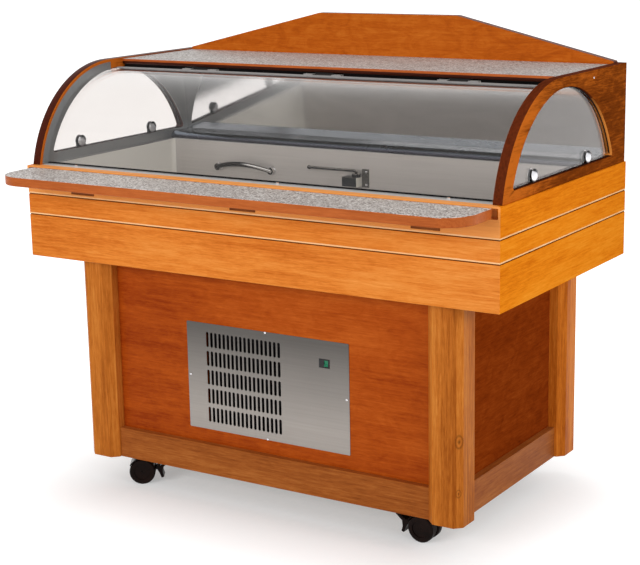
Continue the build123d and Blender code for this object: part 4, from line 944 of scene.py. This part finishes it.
def pale_floor():
    """Material of the floor: white away from the part, and greyer under it, where it keeps the shadow."""
    recipe = Recipe("studio_floor", 0.9)
    beyond = []
    for axis, half in enumerate(glow_half):
        past = recipe.math("SUBTRACT", recipe.math("ABSOLUTE", recipe.place(axis)), half)
        beyond.append(recipe.math("POWER", recipe.math("MAXIMUM", past, 0.0), 2.0))
    away = recipe.math("SQRT", recipe.math("ADD", *beyond))
    glow = recipe.span(away, 0.0, glow_reach, glow_near, 1.0)
    speck = recipe.noise(recipe.coordinates["Object"], 40.0, 3.0)
    recipe.set(Base_Color=recipe.ramp(speck, ((0.3, linear(206, 206, 206)), (0.7, linear(210, 210, 210)))),
               Emission_Color=(1, 1, 1, 1), Emission_Strength=recipe.math("MULTIPLY", glow, seen_ray(recipe)),
               Specular_IOR_Level=0.0)
    return recipe.material


def studio():
    """White world, pale floor, a dark flag for the mirrors, and four soft lamps."""
    white_world()
    floor = flat_sheet("studio_floor", [(-floor_half, -floor_half, 0), (floor_half, -floor_half, 0),
                                        (floor_half, floor_half, 0), (-floor_half, floor_half, 0)],
                       pale_floor())
    cloth = moulded("flag_cloth", (62, 62, 64), (74, 74, 76), 0.9, gloss=0.0)
    near, far = flag_span
    flag = flat_sheet("studio_flag", [(flag_x, near, 0.0), (flag_x, far, 0.0), (flag_x, far, flag_height),
                                      (flag_x, near, flag_height)], cloth)
    flag.visible_camera = flag.visible_diffuse = flag.visible_shadow = False
    softbox("key_lamp", (-0.9, -4.4, 1.9), (0.0, 0.0, 0.6), (2.6, 1.6), 104)
    softbox("side_lamp", (3.7, -1.5, 1.7), (0.3, 0.1, 0.6), (2.0, 1.6), 38)
    softbox("window_lamp", (3.3, 0.0, 1.5), (-0.69, 0.05, 0.85), (0.6, 0.5), 15)
    softbox("top_lamp", (-0.4, 0.3, 4.2), (0.0, 0.1, 0.6), (2.4, 2.0), 40)


def place_camera():
    """Camera of the photograph."""
    azimuth, elevation, roll = [math.radians(a) for a in (camera_azimuth, camera_elevation, camera_roll)]
    look = Vector((-math.sin(azimuth) * math.cos(elevation), math.cos(azimuth) * math.cos(elevation),
                   -math.sin(elevation)))
    level = look.cross(Vector((0, 0, 1))).normalized()
    upright = level.cross(look)
    right = math.cos(roll) * level + math.sin(roll) * upright
    up = math.cos(roll) * upright - math.sin(roll) * level
    data = bpy.data.cameras.new("photo_camera")
    data.sensor_width = sensor_width
    data.lens = camera_focal * sensor_width / image_width
    camera = bpy.data.objects.new("photo_camera", data)
    bpy.context.scene.collection.objects.link(camera)
    camera.matrix_world = Matrix.Translation(camera_place) @ Matrix((right, up, -look)).transposed().to_4x4()
    bpy.context.scene.camera = camera


place_camera()
studio()
dress_woodwork()
dress_metal()
dress_the_rest()
add_details()
fatten("bow_handle", handle_swell)
fatten("latch_lever", lever_swell)
soften("left_cheek", "right_cheek", "crown_board", "top_shelf", "leg_front_left", "leg_front_right",
       "leg_rear_left", "leg_rear_right", "front_rail", "rear_rail", "left_rail", "right_rail")

bpy.context.scene.view_settings.view_transform = "Standard"
